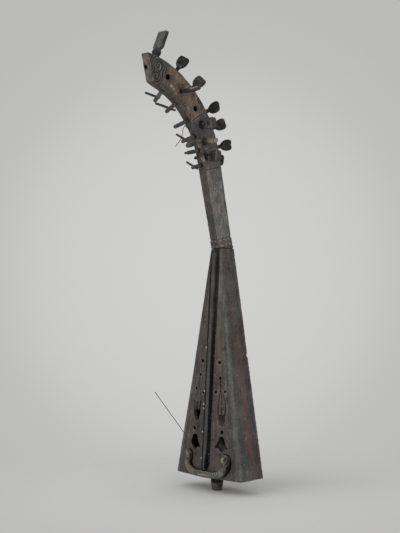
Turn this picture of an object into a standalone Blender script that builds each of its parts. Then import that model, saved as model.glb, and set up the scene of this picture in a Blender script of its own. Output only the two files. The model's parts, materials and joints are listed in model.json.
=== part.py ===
"""An arched harp: a carved soundbox with a back board, an arched neck and turning pegs.

Metres, +Z up. The front, where the strings stood, faces -Y, and +X is the harp's right side.
The origin is in the middle of the soundbox's bottom end.
"""

import math
from collections import namedtuple

import bmesh
import bpy
from mathutils import Matrix, Vector

# Fits
SEAT_GAP = 0.0003
TURN_GAP = 0.0003
CUT_MARGIN = 0.010

# Soundbox, between its foot (z = 0) and its top
BODY_HEIGHT = 0.525
BODY_FOOT_WIDTH = 0.2065
BODY_TOP_WIDTH = 0.031
FRONT_FOOT = 0.047
FRONT_TOP = 0.024
RIDGE_FOOT = 0.012
RIDGE_TOP = 0.001
BACK_FOOT = 0.0300
BACK_TOP = 0.0245
SIDE_DRAW_IN = 0.03
EDGE_ROUND_FOOT = 0.010
EDGE_ROUND_TOP = 0.005
EDGE_ROUND_STEPS = 5
BODY_STATIONS = 17
LEFT_FLARE = 0.0085
LEFT_FLARE_HEIGHT = 0.230
WALL = 0.009
FOOT_WALL = 0.020
TOP_BLOCK = 0.085

# Back board and its dowels
BOARD_THICKNESS = 0.006
DOWEL_RADIUS = 0.002
DOWEL_LENGTH = 0.026
DOWEL_SHARES = (0.12, 0.40, 0.68)
CHIP_SHARE = 0.532
CHIP_DEPTH = 0.003
CHIP_RADIUS = 0.006

# Sound holes: places across and up from the foot on the right of the ridge; their partners on the
# left sit a little off these places, and the left bell is larger, with one blunt lobe
DOTS = ((0.027, 0.264, 0.0041), (0.0305, 0.2285, 0.0036), (0.020, 0.196, 0.0029),
        (0.046, 0.199, 0.0029), (0.042, 0.107, 0.0043))
DOT_LEFT_SHIFTS = ((0.0, 0.0005), (-0.0018, 0.0045), (0.0, -0.0030), (0.0, 0.0015), (-0.0040, 0.0010))
DOT_SIDES = 12
TULIP_X = 0.039
TULIP_Z = 0.1435
TULIP_WIDTH = 0.025
TULIP_HEIGHT = 0.0475
TULIP_NOTCH = 0.025
TULIP_CUP_SHARE = 0.88
TULIP_LEFT_RISE = 0.0065
TULIP_PETAL = (0.26, 0.56)
TULIP_DIP_SHARE = 0.10
TULIP_TIP_SHARE = 0.80
TULIP_MIDDLE = (0.10, 0.86)
BELL_X = 0.042
BELL_Z = 0.080
BELL_WIDTH = 0.038
BELL_HEIGHT = 0.0345
BELL_CROWN = 0.017
BELL_WAIST_SHARE = 1.40
BELL_POINT_SHARE = 0.62
BELL_DIP_SHARE = 0.5
BELL_LEFT_RISE = -0.0030
BELL_LEFT_SHARES = (1.16, 1.07)
BELL_LEFT_LOBE = ((-0.0122, 0.0), (-0.0126, -0.0040), (-0.0064, -0.0122))
HOLE_ARC_STEPS = 8

# String rib and the pins beside it
RIB_TOP_DROP = 0.008
RIB_WIDTH_FOOT = 0.015
RIB_WIDTH_TOP = 0.015
RIB_PROUD = 0.0105
RIB_END_ROUND = 0.007
RIB_END_RISES = ((0.0, 0.55), (0.3, 0.85))
RIB_ARC_STEPS = 8
RIB_STATIONS = 8
PIN_OFFSET = 0.0125
PIN_HEIGHTS = (0.0436, 0.1033, 0.157, 0.1667, 0.1966, 0.290, 0.297)
PIN_RADIUS = 0.0013
PIN_HEAD_RADIUS = 0.0021
PIN_HEAD_PROUD = 0.0022
PIN_HEAD_OUTLINE = ((1.00, 0.55), (0.65, 0.92), (0.32, 1.00))
PIN_DEPTH = 0.006

# Tail scroll: the right arm's places across and up from the foot, with half its width there
SCROLL_PATH = ((0.0000, 0.0092, 0.0077), (0.0160, 0.0092, 0.0077), (0.0320, 0.0100, 0.0081),
               (0.0460, 0.0135, 0.0092), (0.0555, 0.0210, 0.0108), (0.0595, 0.0300, 0.0124),
               (0.0600, 0.0385, 0.0137), (0.0590, 0.0465, 0.0138), (0.0578, 0.0525, 0.0115),
               (0.0571, 0.0575, 0.0070), (0.0568, 0.0605, 0.0015))
SCROLL_SPACING = 0.004
SCROLL_PROUD = 0.010
SCROLL_TIP_EASE = 0.006
SCROLL_EDGE_SHARE = 0.25
SCROLL_ARC_STEPS = 8

# End button
BUTTON_FRONT = 0.018
BUTTON_TOP_RADIUS = 0.016
BUTTON_END_RADIUS = 0.0125
BUTTON_LENGTH = 0.033
BUTTON_ROUND = 0.003
BUTTON_ROUND_SHARE = 0.3
BUTTON_SHANK_RADIUS = 0.007
BUTTON_SHANK_SHARE = 0.8
ROUND_SIDES = 20

# Neck: a leaning straight, an arch and a short head, measured along its middle line
NECK_SET_FORWARD = 0.0028
NECK_LEAN = math.radians(12.5)
NECK_STRAIGHT = 0.2115
ARCH_RADIUS = 0.238
ARCH_ANGLE = math.radians(62)
HEAD_RUN = 0.019
NECK_WIDTH = 0.0245
NECK_FOOT_DEPTH = 0.0437
NECK_ARCH_DEPTH = 0.058
NECK_END_DEPTH = 0.0516
NECK_BACK_GROWTH = 0.0035
NECK_EDGE = 0.0025
END_SKEW = math.radians(29)
END_SKEW_RUN = 0.085
COLLAR_HEIGHT = 0.024
COLLAR_EASE = 0.003
COLLAR_PROUD = 0.0016
NECK_STEP = 0.013
TENON_LENGTH = 0.055
TENON_WIDTH = 0.012
TENON_DEPTH = 0.026
END_HOLE_RADIUS = 0.0045
END_HOLE_OFFSETS = (-0.0050, 0.0025)
END_HOLE_DEPTH = 0.025
EMPTY_HOLE_RADIUS = 0.0060

# Head finial: a paddle on a collared stem, leaning back from the square to the neck
FINIAL_SETBACK = 0.0095
FINIAL_LEAN = math.radians(8.5)
FINIAL_RISE = 0.0682
FINIAL_PADDLE = 0.045
FINIAL_END_WIDTH = 0.029
FINIAL_BASE_WIDTH = 0.029
FINIAL_THICKNESS = 0.011
FINIAL_THROAT_RADIUS = 0.0075
FINIAL_COLLAR_RADIUS = 0.0105
FINIAL_STEM_RADIUS = 0.0085
FINIAL_COLLAR_SHARES = (0.35, 0.50, 0.67, 0.82)
FINIAL_PADDLE_FOOT = ((0.00, 0.80, 0.90), (0.08, 1.00, 1.00))
FINIAL_PADDLE_END = ((0.90, 1.00, 1.00), (0.98, 0.97, 0.85), (1.00, 0.90, 0.60))
FINIAL_TENON_RADIUS = 0.005
FINIAL_TENON_LENGTH = 0.020
FINIAL_SEAT_DEPTH = 0.0022

# Pegs: a flat head, a tapering shaft and a holed tip
HEAD_WIDTH = 0.0265
HEAD_THICKNESS = 0.011
HEAD_OUTLINE = ((0.00, 0.60, 0.46), (0.04, 0.80, 0.74), (0.12, 0.95, 0.94), (0.28, 1.00, 1.00),
                (0.50, 0.98, 0.98), (0.70, 0.86, 0.92), (0.88, 0.60, 0.87))
FULL_HEAD_OUTLINE = HEAD_OUTLINE[:4] + ((0.50, 1.00, 1.00), (0.70, 0.94, 0.96), (0.88, 0.78, 0.92))
FULL_HEADS = ("side_peg_4", "side_peg_6")
SHAFT_TIP_RADIUS = 0.0040
SHAFT_TAPER = 0.0075
TIP_CHAMFER = 0.0008
STRING_HOLE_RADIUS = 0.0013
STRING_HOLE_SETBACK = 0.007
PEG_SIDES = 16

# Back pegs from the head down: number, place along the neck, skew in degrees, reach of the head's
# middle and of the tip from the neck's middle line, length and turn in degrees of the flat head
BackPeg = namedtuple("BackPeg", "number place skew head_reach tip_reach head_length spin")
BACK_PEGS = (
    BackPeg(1, 0.4214, -14.1, 0.0630, 0.0633, 0.034, -45),
    BackPeg(2, 0.3688, -13.2, 0.0630, 0.0640, 0.035, -58),
    BackPeg(3, 0.3118, -12.8, 0.0665, 0.0703, 0.036, 80),
    BackPeg(4, 0.2712, -5.2, 0.0640, 0.0670, 0.036, 95),
    BackPeg(5, 0.2325, -5.6, 0.0660, 0.0611, 0.036, 85),
    BackPeg(6, 0.1995, 1.2, 0.0395, 0.0547, 0.020, 70),
)

# Side pegs: number, place along the neck, offset to the back, side of the head, reach of the
# head's middle and of the tip from the neck's middle plane, length and turn of the flat head
SidePeg = namedtuple("SidePeg", "number place offset head_side head_reach tip_reach head_length spin")
SIDE_PEGS = (
    SidePeg(2, 0.3872, -0.0022, 1, 0.0415, 0.0200, 0.048, 21),
    SidePeg(4, 0.2921, 0.0009, 1, 0.0340, 0.0400, 0.040, 95),
    SidePeg(5, 0.2530, -0.0093, -1, 0.0310, 0.0495, 0.028, 50),
    SidePeg(6, 0.2168, -0.0167, 1, 0.0390, 0.0250, 0.037, 85),
)
EMPTY_SIDE_HOLES = ((0.4356, 0.0018), (0.3307, 0.0027))

# Cross sticks: peg number, setback from the tip, turn in degrees, lengths of the two arms
STICK_RADIUS = 0.0024
STICK_END_RADIUS = 0.0020
STICK_SIDES = 8
STICKS = (
    (1, 0.0140, 148, 0.0322, 0.006),
    (2, 0.0150, 154, 0.0405, 0.0155),
    (4, 0.0120, 146, 0.029, 0.006),
    (5, 0.0050, 182, 0.014, 0.006),
    (6, 0.0080, 150, 0.0265, 0.010),
)

# String remnants
STRING_DIAMETER = 0.0015
STRING_POINT_SPACING = 3.0 * STRING_DIAMETER
ROUTE_SPAN_STEPS = 40
STRING_LOW_ROUTE = (
    (-0.0125, -0.0579, 0.0446),
    (-0.0095, -0.1075, 0.0995),
    (-0.0047, -0.1603, 0.1540),
    (0.0000, -0.2130, 0.2085),
)
STRING_NECK_ROUTE = (
    (-0.0080, -0.1110, 0.8045),
    (-0.0120, -0.1152, 0.7960),
    (-0.0180, -0.1122, 0.7860),
    (-0.0240, -0.1092, 0.7760),
    (-0.0280, -0.1140, 0.7655),
    (-0.0310, -0.1216, 0.7560),
)


def clear_scene():
    for obj in list(bpy.data.objects):
        bpy.data.objects.remove(obj, do_unlink=True)


def wood(name, colour, roughness):
    made = bpy.data.materials.new(name)
    made.use_nodes = True
    shader = made.node_tree.nodes["Principled BSDF"]
    shader.inputs["Base Color"].default_value = (*colour, 1.0)
    shader.inputs["Roughness"].default_value = roughness
    shader.inputs["Metallic"].default_value = 0.0
    return made


def add_rings(bm, rings):
    """Add one closed body that runs through rings of equal point counts, with flat ends."""
    loops = [[bm.verts.new(point) for point in ring] for ring in rings]
    count = len(loops[0])
    for lower, upper in zip(loops, loops[1:]):
        for i in range(count):
            j = (i + 1) % count
            bm.faces.new((lower[i], lower[j], upper[j], upper[i]))
    bm.faces.new(loops[0])
    bm.faces.new(loops[-1])


def ring_mesh(name, *bodies):
    """A mesh of closed bodies, each given as its rings."""
    bm = bmesh.new()
    for rings in bodies:
        add_rings(bm, rings)
    bmesh.ops.recalc_face_normals(bm, faces=bm.faces)
    mesh = bpy.data.meshes.new(name)
    bm.to_mesh(mesh)
    bm.free()
    return mesh


def piece(name, mesh, material, smooth_angle=40):
    obj = bpy.data.objects.new(name, mesh)
    bpy.context.scene.collection.objects.link(obj)
    mesh.materials.append(material)
    mesh.shade_smooth()
    mesh.set_sharp_from_angle(angle=math.radians(smooth_angle))
    return obj


def cut(obj, name, mesh):
    """Cut a hidden body out of an object, in the object's own coordinates."""
    cutter = bpy.data.objects.new(name, mesh)
    bpy.context.scene.collection.objects.link(cutter)
    cutter.matrix_world = obj.matrix_world
    cutter.hide_render = True
    cutter.display_type = "WIRE"
    modifier = obj.modifiers.new(name, "BOOLEAN")
    modifier.operation = "DIFFERENCE"
    modifier.solver = "EXACT"
    modifier.object = cutter


def framed(origin, along, across):
    """The placement whose Z runs along one direction and whose X lies nearest another."""
    along = along.normalized()
    across = (across - along * across.dot(along)).normalized()
    turn = Matrix((across, along.cross(across), along)).transposed()
    return Matrix.Translation(origin) @ turn.to_4x4()


def oval(z, half_x, half_y, sides):
    angles = [2 * math.pi * i / sides for i in range(sides)]
    return [Vector((half_x * math.cos(a), half_y * math.sin(a), z)) for a in angles]


def rod_rings(placement, stations, sides):
    """Round rings at stations (distance along Z, radius) of a placement."""
    return [[placement @ point for point in oval(z, r, r, sides)] for z, r in stations]


def blend(foot, top, z):
    return foot + (top - foot) * z / BODY_HEIGHT


def half_width(z):
    return blend(BODY_FOOT_WIDTH, BODY_TOP_WIDTH, z) / 2


def front_edge(z):
    return -blend(FRONT_FOOT, FRONT_TOP, z)


def ridge(z):
    return front_edge(z) - blend(RIDGE_FOOT, RIDGE_TOP, z)


def back_face(z):
    return blend(BACK_FOOT, BACK_TOP, z)


def side(y, z):
    """Half the body's width where a side wall passes y."""
    return half_width(z) - SIDE_DRAW_IN * (y - front_edge(z))


def front_face(x, z):
    """The y of the ridged front at one point."""
    share = min(abs(x) / half_width(z), 1.0)
    return ridge(z) + (front_edge(z) - ridge(z)) * share


def left_flare(z):
    """How far the left front corner stands out near the foot."""
    return LEFT_FLARE * max(1.0 - z / LEFT_FLARE_HEIGHT, 0.0)


def mirrored(half):
    """A ring from its right half, which starts and ends away from the middle plane or on it."""
    left = [Vector((-p.x, p.y, p.z)) for p in reversed(half) if p.x > 0]
    return half + left


def body_ring(z):
    """The outside of the soundbox at one height, up to the back board's seat."""
    corner = Vector((half_width(z), front_edge(z), z))
    middle = Vector((0, ridge(z), z))
    seat = back_face(z) - BOARD_THICKNESS
    rear = Vector((side(seat, z), seat, z))
    length = blend(EDGE_ROUND_FOOT, EDGE_ROUND_TOP, z)
    start = corner + (middle - corner).normalized() * length
    end = corner + (rear - corner).normalized() * length
    half = [middle]
    for i in range(EDGE_ROUND_STEPS + 1):
        t = i / EDGE_ROUND_STEPS
        half.append(start * (1 - t) ** 2 + corner * 2 * t * (1 - t) + end * t * t)
    half.append(rear)
    ring = mirrored(half)
    for i in range(EDGE_ROUND_STEPS + 1):
        ring[-1 - i].x -= left_flare(z) * i / EDGE_ROUND_STEPS
    return ring


def cavity_ring(z):
    behind = back_face(z) + CUT_MARGIN
    front = front_edge(z) + WALL
    half = [
        Vector((0, ridge(z) + WALL, z)),
        Vector((side(front, z) - WALL, front, z)),
        Vector((side(behind, z) - WALL, behind, z)),
    ]
    return mirrored(half)


def box_ring(width, depth, z, corner=0.0):
    """A level rectangle about the Z axis, each corner cut by a small flat."""
    x = width / 2
    y = depth / 2
    points = ((x, -y + corner), (x, y - corner), (x - corner, y), (-x + corner, y),
              (-x, y - corner), (-x, -y + corner), (-x + corner, -y), (x - corner, -y))
    return [Vector((*point, z)) for point in points]


def tulip_outline():
    """Three petals on a round cup."""
    wide = TULIP_WIDTH / 2
    tall = TULIP_HEIGHT / 2
    cup = tall - TULIP_NOTCH
    points = []
    for i in range(HOLE_ARC_STEPS + 1):
        a = math.pi + math.pi * i / HOLE_ARC_STEPS
        points.append((TULIP_CUP_SHARE * wide * math.cos(a), cup + (tall + cup) * math.sin(a)))
    dip = cup + TULIP_DIP_SHARE * tall
    inner, outer = (share * wide for share in TULIP_PETAL)
    middle_x, middle_z = TULIP_MIDDLE
    right = [(wide, tall), (TULIP_TIP_SHARE * wide, tall), (outer, dip), (inner, dip)]
    right.append((middle_x * wide, middle_z * tall))
    left = [(-x, z) for x, z in reversed(right)]
    return points + right + left


def bell_outline(left_lobe=None):
    """A crown that flares into two side points above a middle one, or into a given lobe on the left."""
    wide = BELL_WIDTH / 2
    tall = BELL_HEIGHT / 2
    crown = BELL_CROWN / 2
    shoulder = tall - crown
    points = []
    for i in range(HOLE_ARC_STEPS + 1):
        a = math.pi * i / HOLE_ARC_STEPS
        points.append((crown * math.cos(a), shoulder + crown * math.sin(a)))
    dip = (-BELL_DIP_SHARE * wide, -BELL_DIP_SHARE * tall)
    flare = [(-BELL_WAIST_SHARE * crown, 0.0), (-wide, -BELL_POINT_SHARE * tall), dip]
    right = [(-x, z) for x, z in reversed(flare)]
    return points + list(left_lobe or flare) + [(0.0, -tall)] + right


def dot_outline(radius):
    angles = [2 * math.pi * i / DOT_SIDES for i in range(DOT_SIDES)]
    return [(radius * math.cos(a), radius * math.sin(a)) for a in angles]


def front_cut(x, z, outline):
    """A body that carries an outline at (x, z) through the front wall."""
    reach_x = max(abs(px) for px, _ in outline)
    reach_z = max(abs(pz) for _, pz in outline)
    outside = ridge(z - reach_z) - CUT_MARGIN
    inside = front_face(abs(x) + reach_x, z + reach_z) + WALL + CUT_MARGIN / 2
    return [[Vector((x + px, y, z + pz)) for px, pz in outline] for y in (outside, inside)]


def sound_hole_cuts():
    cuts = []
    for (x, z, radius), (across, rise) in zip(DOTS, DOT_LEFT_SHIFTS):
        cuts.append(front_cut(x, z, dot_outline(radius)))
        cuts.append(front_cut(across - x, z + rise, dot_outline(radius)))
    cuts.append(front_cut(BELL_X, BELL_Z, bell_outline()))
    wider, taller = BELL_LEFT_SHARES
    left_bell = [(wider * x, taller * z) for x, z in bell_outline(BELL_LEFT_LOBE)]
    cuts.append(front_cut(-BELL_X, BELL_Z + BELL_LEFT_RISE, left_bell))
    tulip = tulip_outline()
    cuts.append(front_cut(TULIP_X, TULIP_Z, tulip))
    cuts.append(front_cut(-TULIP_X, TULIP_Z + TULIP_LEFT_RISE, tulip))
    return cuts


def pin_place(height):
    """Where a string pin stands on the left front face, Z running into the wall."""
    foot = Vector((-PIN_OFFSET, front_face(PIN_OFFSET, height), height))
    return framed(foot, Vector((0, 1, 0)), Vector((1, 0, 0)))


def dowel_places():
    """Where the dowels enter the back board, Z running into the walls."""
    places = []
    for share in DOWEL_SHARES:
        z = share * BODY_HEIGHT
        y = back_face(z)
        for sign in (1, -1):
            head = Vector((sign * (side(y, z) - WALL / 2), y, z))
            places.append(framed(head, Vector((0, -1, 0)), Vector((1, 0, 0))))
    return places


def button_place():
    return framed(Vector((0, -BUTTON_FRONT, 0)), Vector((0, 0, 1)), Vector((1, 0, 0)))


def build_soundbox(material):
    heights = [BODY_HEIGHT * i / (BODY_STATIONS - 1) for i in range(BODY_STATIONS)]
    box = piece("soundbox", ring_mesh("soundbox", [body_ring(z) for z in heights]), material)
    cavity = [cavity_ring(FOOT_WALL), cavity_ring(BODY_HEIGHT - TOP_BLOCK)]
    cut(box, "cavity_cut", ring_mesh("cavity_cut", cavity))
    cut(box, "sound_hole_cut", ring_mesh("sound_hole_cut", *sound_hole_cuts()))

    mortise = [
        box_ring(TENON_WIDTH + 2 * SEAT_GAP, TENON_DEPTH + 2 * SEAT_GAP, z, NECK_EDGE)
        for z in (BODY_HEIGHT - TENON_LENGTH - SEAT_GAP, BODY_HEIGHT + CUT_MARGIN)
    ]
    radius = BUTTON_SHANK_RADIUS + SEAT_GAP
    shank = FOOT_WALL * BUTTON_SHANK_SHARE + SEAT_GAP
    button = rod_rings(button_place(), ((-CUT_MARGIN, radius), (shank, radius)), ROUND_SIDES)
    cut(box, "end_joint_cut", ring_mesh("end_joint_cut", mortise, button))

    radius = PIN_RADIUS + SEAT_GAP
    pins = [
        rod_rings(pin_place(height), ((-CUT_MARGIN, radius), (PIN_DEPTH + SEAT_GAP, radius)), DOT_SIDES)
        for height in PIN_HEIGHTS
    ]
    cut(box, "pin_cut", ring_mesh("pin_cut", *pins))
    cut(box, "dowel_cut", ring_mesh("dowel_cut", *dowel_cuts()))


def dowel_cuts():
    radius = DOWEL_RADIUS + SEAT_GAP
    stations = ((-CUT_MARGIN, radius), (DOWEL_LENGTH + SEAT_GAP, radius))
    return [rod_rings(place, stations, DOT_SIDES) for place in dowel_places()]


def build_back_board(material, dowel_material):
    def ring(z):
        inner = back_face(z) - BOARD_THICKNESS + SEAT_GAP
        outer = back_face(z)
        right = [Vector((side(inner, z), inner, z)), Vector((side(outer, z), outer, z))]
        return mirrored(right)

    board = piece("back_board", ring_mesh("back_board", [ring(0), ring(BODY_HEIGHT)]), material)
    cut(board, "board_dowel_cut", ring_mesh("board_dowel_cut", *dowel_cuts()))

    z = CHIP_SHARE * BODY_HEIGHT
    y = back_face(z)
    bite = Vector((side(y, z) - CHIP_DEPTH + CHIP_RADIUS, y, z))
    place = framed(bite, Vector((0, 1, 0)), Vector((1, 0, 0)))
    reach = BOARD_THICKNESS + CUT_MARGIN
    chip = rod_rings(place, ((-reach, CHIP_RADIUS), (reach, CHIP_RADIUS)), DOT_SIDES)
    cut(board, "chip_cut", ring_mesh("chip_cut", chip))

    stations = ((SEAT_GAP, DOWEL_RADIUS), (DOWEL_LENGTH, DOWEL_RADIUS))
    for number, place in enumerate(dowel_places(), 1):
        name = f"back_board_dowel_{number}"
        dowel = piece(name, ring_mesh(name, rod_rings(Matrix(), stations, DOT_SIDES)), dowel_material)
        dowel.matrix_world = place


def rib_foot():
    _, rise, half = SCROLL_PATH[0]
    return rise + half + SEAT_GAP


def build_string_rib(material):
    foot = rib_foot()
    top = BODY_HEIGHT - RIB_TOP_DROP

    def ring(z, rise):
        share = (z - foot) / (top - foot)
        wide = (RIB_WIDTH_FOOT + (RIB_WIDTH_TOP - RIB_WIDTH_FOOT) * share) / 2
        points = []
        for i in range(RIB_ARC_STEPS + 1):
            a = math.pi * i / RIB_ARC_STEPS
            x = wide * math.cos(a)
            y = front_face(wide, z) - SEAT_GAP - RIB_PROUD * rise * math.sin(a)
            points.append(Vector((x, min(y, front_face(x, z) - SEAT_GAP), z)))
        points.append(Vector((0, front_face(0, z) - SEAT_GAP, z)))
        return points

    inner_foot = foot + RIB_END_ROUND
    inner_top = top - RIB_END_ROUND
    rings = [ring(foot + share * RIB_END_ROUND, rise) for share, rise in RIB_END_RISES]
    for i in range(RIB_STATIONS):
        rings.append(ring(inner_foot + (inner_top - inner_foot) * i / (RIB_STATIONS - 1), 1.0))
    rings += [ring(top - share * RIB_END_ROUND, rise) for share, rise in reversed(RIB_END_RISES)]
    piece("string_rib", ring_mesh("string_rib", rings), material)


def build_string_pins(material):
    stations = [(-share * PIN_HEAD_PROUD, wide * PIN_HEAD_RADIUS) for share, wide in PIN_HEAD_OUTLINE]
    stations += [(stations[-1][0], PIN_RADIUS), (PIN_DEPTH, PIN_RADIUS)]
    for number, height in enumerate(PIN_HEIGHTS, 1):
        name = f"string_pin_{number}"
        pin = piece(name, ring_mesh(name, rod_rings(Matrix(), stations, DOT_SIDES)), material)
        pin.matrix_world = pin_place(height)


def build_tail_scroll(material):
    arm = [tuple(point) for point in smooth_points(SCROLL_PATH, SCROLL_SPACING)]
    path = [(-x, z, half) for x, z, half in reversed(arm[1:])] + arm
    rings = []
    for i, (x, z, half) in enumerate(path):
        before = path[max(i - 1, 0)]
        after = path[min(i + 1, len(path) - 1)]
        run = Vector((after[0] - before[0], after[1] - before[1])).normalized()
        across = Vector((-run.y, run.x))
        ring = []
        for step in range(SCROLL_ARC_STEPS + 1):
            a = math.pi * step / SCROLL_ARC_STEPS
            px = x + across.x * half * math.cos(a)
            pz = z + across.y * half * math.cos(a)
            rise = SCROLL_EDGE_SHARE + (1 - SCROLL_EDGE_SHARE) * math.sin(a)
            lift = SEAT_GAP + SCROLL_PROUD * min(half / SCROLL_TIP_EASE, 1.0) * rise
            ring.append(Vector((px, front_face(px, pz) - lift, pz)))
        for sign in (-1, 1):
            px = x + sign * across.x * half
            pz = z + sign * across.y * half
            ring.append(Vector((px, front_face(px, pz) - SEAT_GAP, pz)))
        rings.append(ring)
    piece("tail_scroll", ring_mesh("tail_scroll", rings), material)


def build_end_button(material):
    eased = BUTTON_ROUND_SHARE * BUTTON_ROUND
    stations = (
        (-BUTTON_LENGTH, BUTTON_END_RADIUS - BUTTON_ROUND),
        (-BUTTON_LENGTH + eased, BUTTON_END_RADIUS - eased),
        (-BUTTON_LENGTH + BUTTON_ROUND, BUTTON_END_RADIUS),
        (-SEAT_GAP, BUTTON_TOP_RADIUS),
        (-SEAT_GAP, BUTTON_SHANK_RADIUS),
        (FOOT_WALL * BUTTON_SHANK_SHARE, BUTTON_SHANK_RADIUS),
    )
    rings = rod_rings(Matrix(), stations, ROUND_SIDES)
    button = piece("end_button", ring_mesh("end_button", rings), material)
    button.matrix_world = button_place()


def neck_length():
    return NECK_STRAIGHT + ARCH_RADIUS * ARCH_ANGLE + HEAD_RUN


def neck_frame(s):
    """The middle line's point, its forward direction and the direction to the neck's back."""
    angle = NECK_LEAN + min(max(s - NECK_STRAIGHT, 0.0) / ARCH_RADIUS, ARCH_ANGLE)
    start = Vector((0, -NECK_SET_FORWARD, BODY_HEIGHT + SEAT_GAP))
    lean = Vector((0, -math.sin(NECK_LEAN), math.cos(NECK_LEAN)))
    forward = Vector((0, -math.sin(angle), math.cos(angle)))
    back = Vector((0, math.cos(angle), math.sin(angle)))
    lean_back = Vector((0, math.cos(NECK_LEAN), math.sin(NECK_LEAN)))
    point = start + lean * min(s, NECK_STRAIGHT) + (back - lean_back) * ARCH_RADIUS
    point += forward * max(s - NECK_STRAIGHT - ARCH_RADIUS * ARCH_ANGLE, 0.0)
    return point, forward, back


def neck_half_depth(s):
    """How far the neck reaches before its middle line; behind it, it reaches a little further."""
    arch_end = NECK_STRAIGHT + ARCH_RADIUS * ARCH_ANGLE
    if s < arch_end:
        return (NECK_FOOT_DEPTH + (NECK_ARCH_DEPTH - NECK_FOOT_DEPTH) * s / arch_end) / 2
    share = (s - arch_end) / HEAD_RUN
    return (NECK_ARCH_DEPTH + (NECK_END_DEPTH - NECK_ARCH_DEPTH) * share) / 2


def neck_shear(s):
    """How far a section slides forward for each metre to the back: level foot, skewed end."""
    foot = max(1.0 - s / COLLAR_HEIGHT, 0.0)
    end = max((s - neck_length()) / END_SKEW_RUN + 1.0, 0.0)
    return end * math.tan(END_SKEW) - foot * math.tan(NECK_LEAN)


def neck_ring(s, grow=0.0):
    point, forward, back = neck_frame(s)
    wide = NECK_WIDTH / 2 + grow
    deep = neck_half_depth(s) + grow
    ease = NECK_EDGE * (1 - math.sqrt(0.5))

    def corner(reach):
        return [(wide - NECK_EDGE, reach), (wide - ease, reach - ease), (wide, reach - NECK_EDGE)]

    behind = corner(deep + NECK_BACK_GROWTH)
    before = corner(deep)
    flat = list(behind)
    flat += [(x, -n) for x, n in reversed(before)]
    flat += [(-x, -n) for x, n in before]
    flat += [(-x, n) for x, n in reversed(behind)]
    slide = neck_shear(s)
    return [point + Vector((x, 0, 0)) + back * n + forward * (slide * n) for x, n in flat]


def tenon_ring(z):
    """A twelve-point rectangle that matches the neck's rings point for point."""
    wide = TENON_WIDTH / 2
    deep = TENON_DEPTH / 2
    ease = NECK_EDGE / 2
    corner = ((wide - NECK_EDGE, deep), (wide - ease, deep - ease), (wide, deep - NECK_EDGE))
    flat = [(x, y) for x, y in corner]
    flat += [(x, -y) for x, y in reversed(corner)]
    flat += [(-x, -y) for x, y in corner]
    flat += [(-x, y) for x, y in reversed(corner)]
    return [Vector((x, y, z)) for x, y in flat]


def back_peg_place(peg):
    """On the neck's middle line, Z towards the peg's tip at the front."""
    point, forward, back = neck_frame(peg.place)
    skew = math.radians(peg.skew)
    tipped = back * math.cos(skew) + forward * math.sin(skew)
    turned = Matrix.Rotation(math.radians(peg.spin), 4, -tipped) @ Vector((1, 0, 0))
    return framed(point, -tipped, turned)


def side_place(place, offset, head_side=1, spin=0):
    """In the neck's middle plane, Z away from the side of the head."""
    point, _, back = neck_frame(place)
    turned = Matrix.Rotation(math.radians(spin), 4, "X") @ Vector((0, -1, 0))
    return framed(point + back * offset, Vector((-head_side, 0, 0)), turned)


def side_peg_place(peg):
    return side_place(peg.place, peg.offset, peg.head_side, peg.spin)


def shaft_radius(z, tip_reach):
    return SHAFT_TIP_RADIUS + SHAFT_TAPER * (tip_reach - z)


def peg_hole(place, tip_reach, reach):
    stations = [(z, shaft_radius(z, tip_reach) + TURN_GAP) for z in (-reach, reach)]
    return rod_rings(place, stations, PEG_SIDES)


def finial_place():
    """On the neck's middle line, Z up through the finial."""
    point, forward, back = neck_frame(neck_length() - FINIAL_SETBACK)
    upward = back * math.cos(FINIAL_LEAN) - forward * math.sin(FINIAL_LEAN)
    return framed(point, upward, Vector((1, 0, 0)))


def finial_seat():
    surface = neck_half_depth(neck_length() - FINIAL_SETBACK) + NECK_BACK_GROWTH
    return surface / math.cos(FINIAL_LEAN) - FINIAL_SEAT_DEPTH


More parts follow.
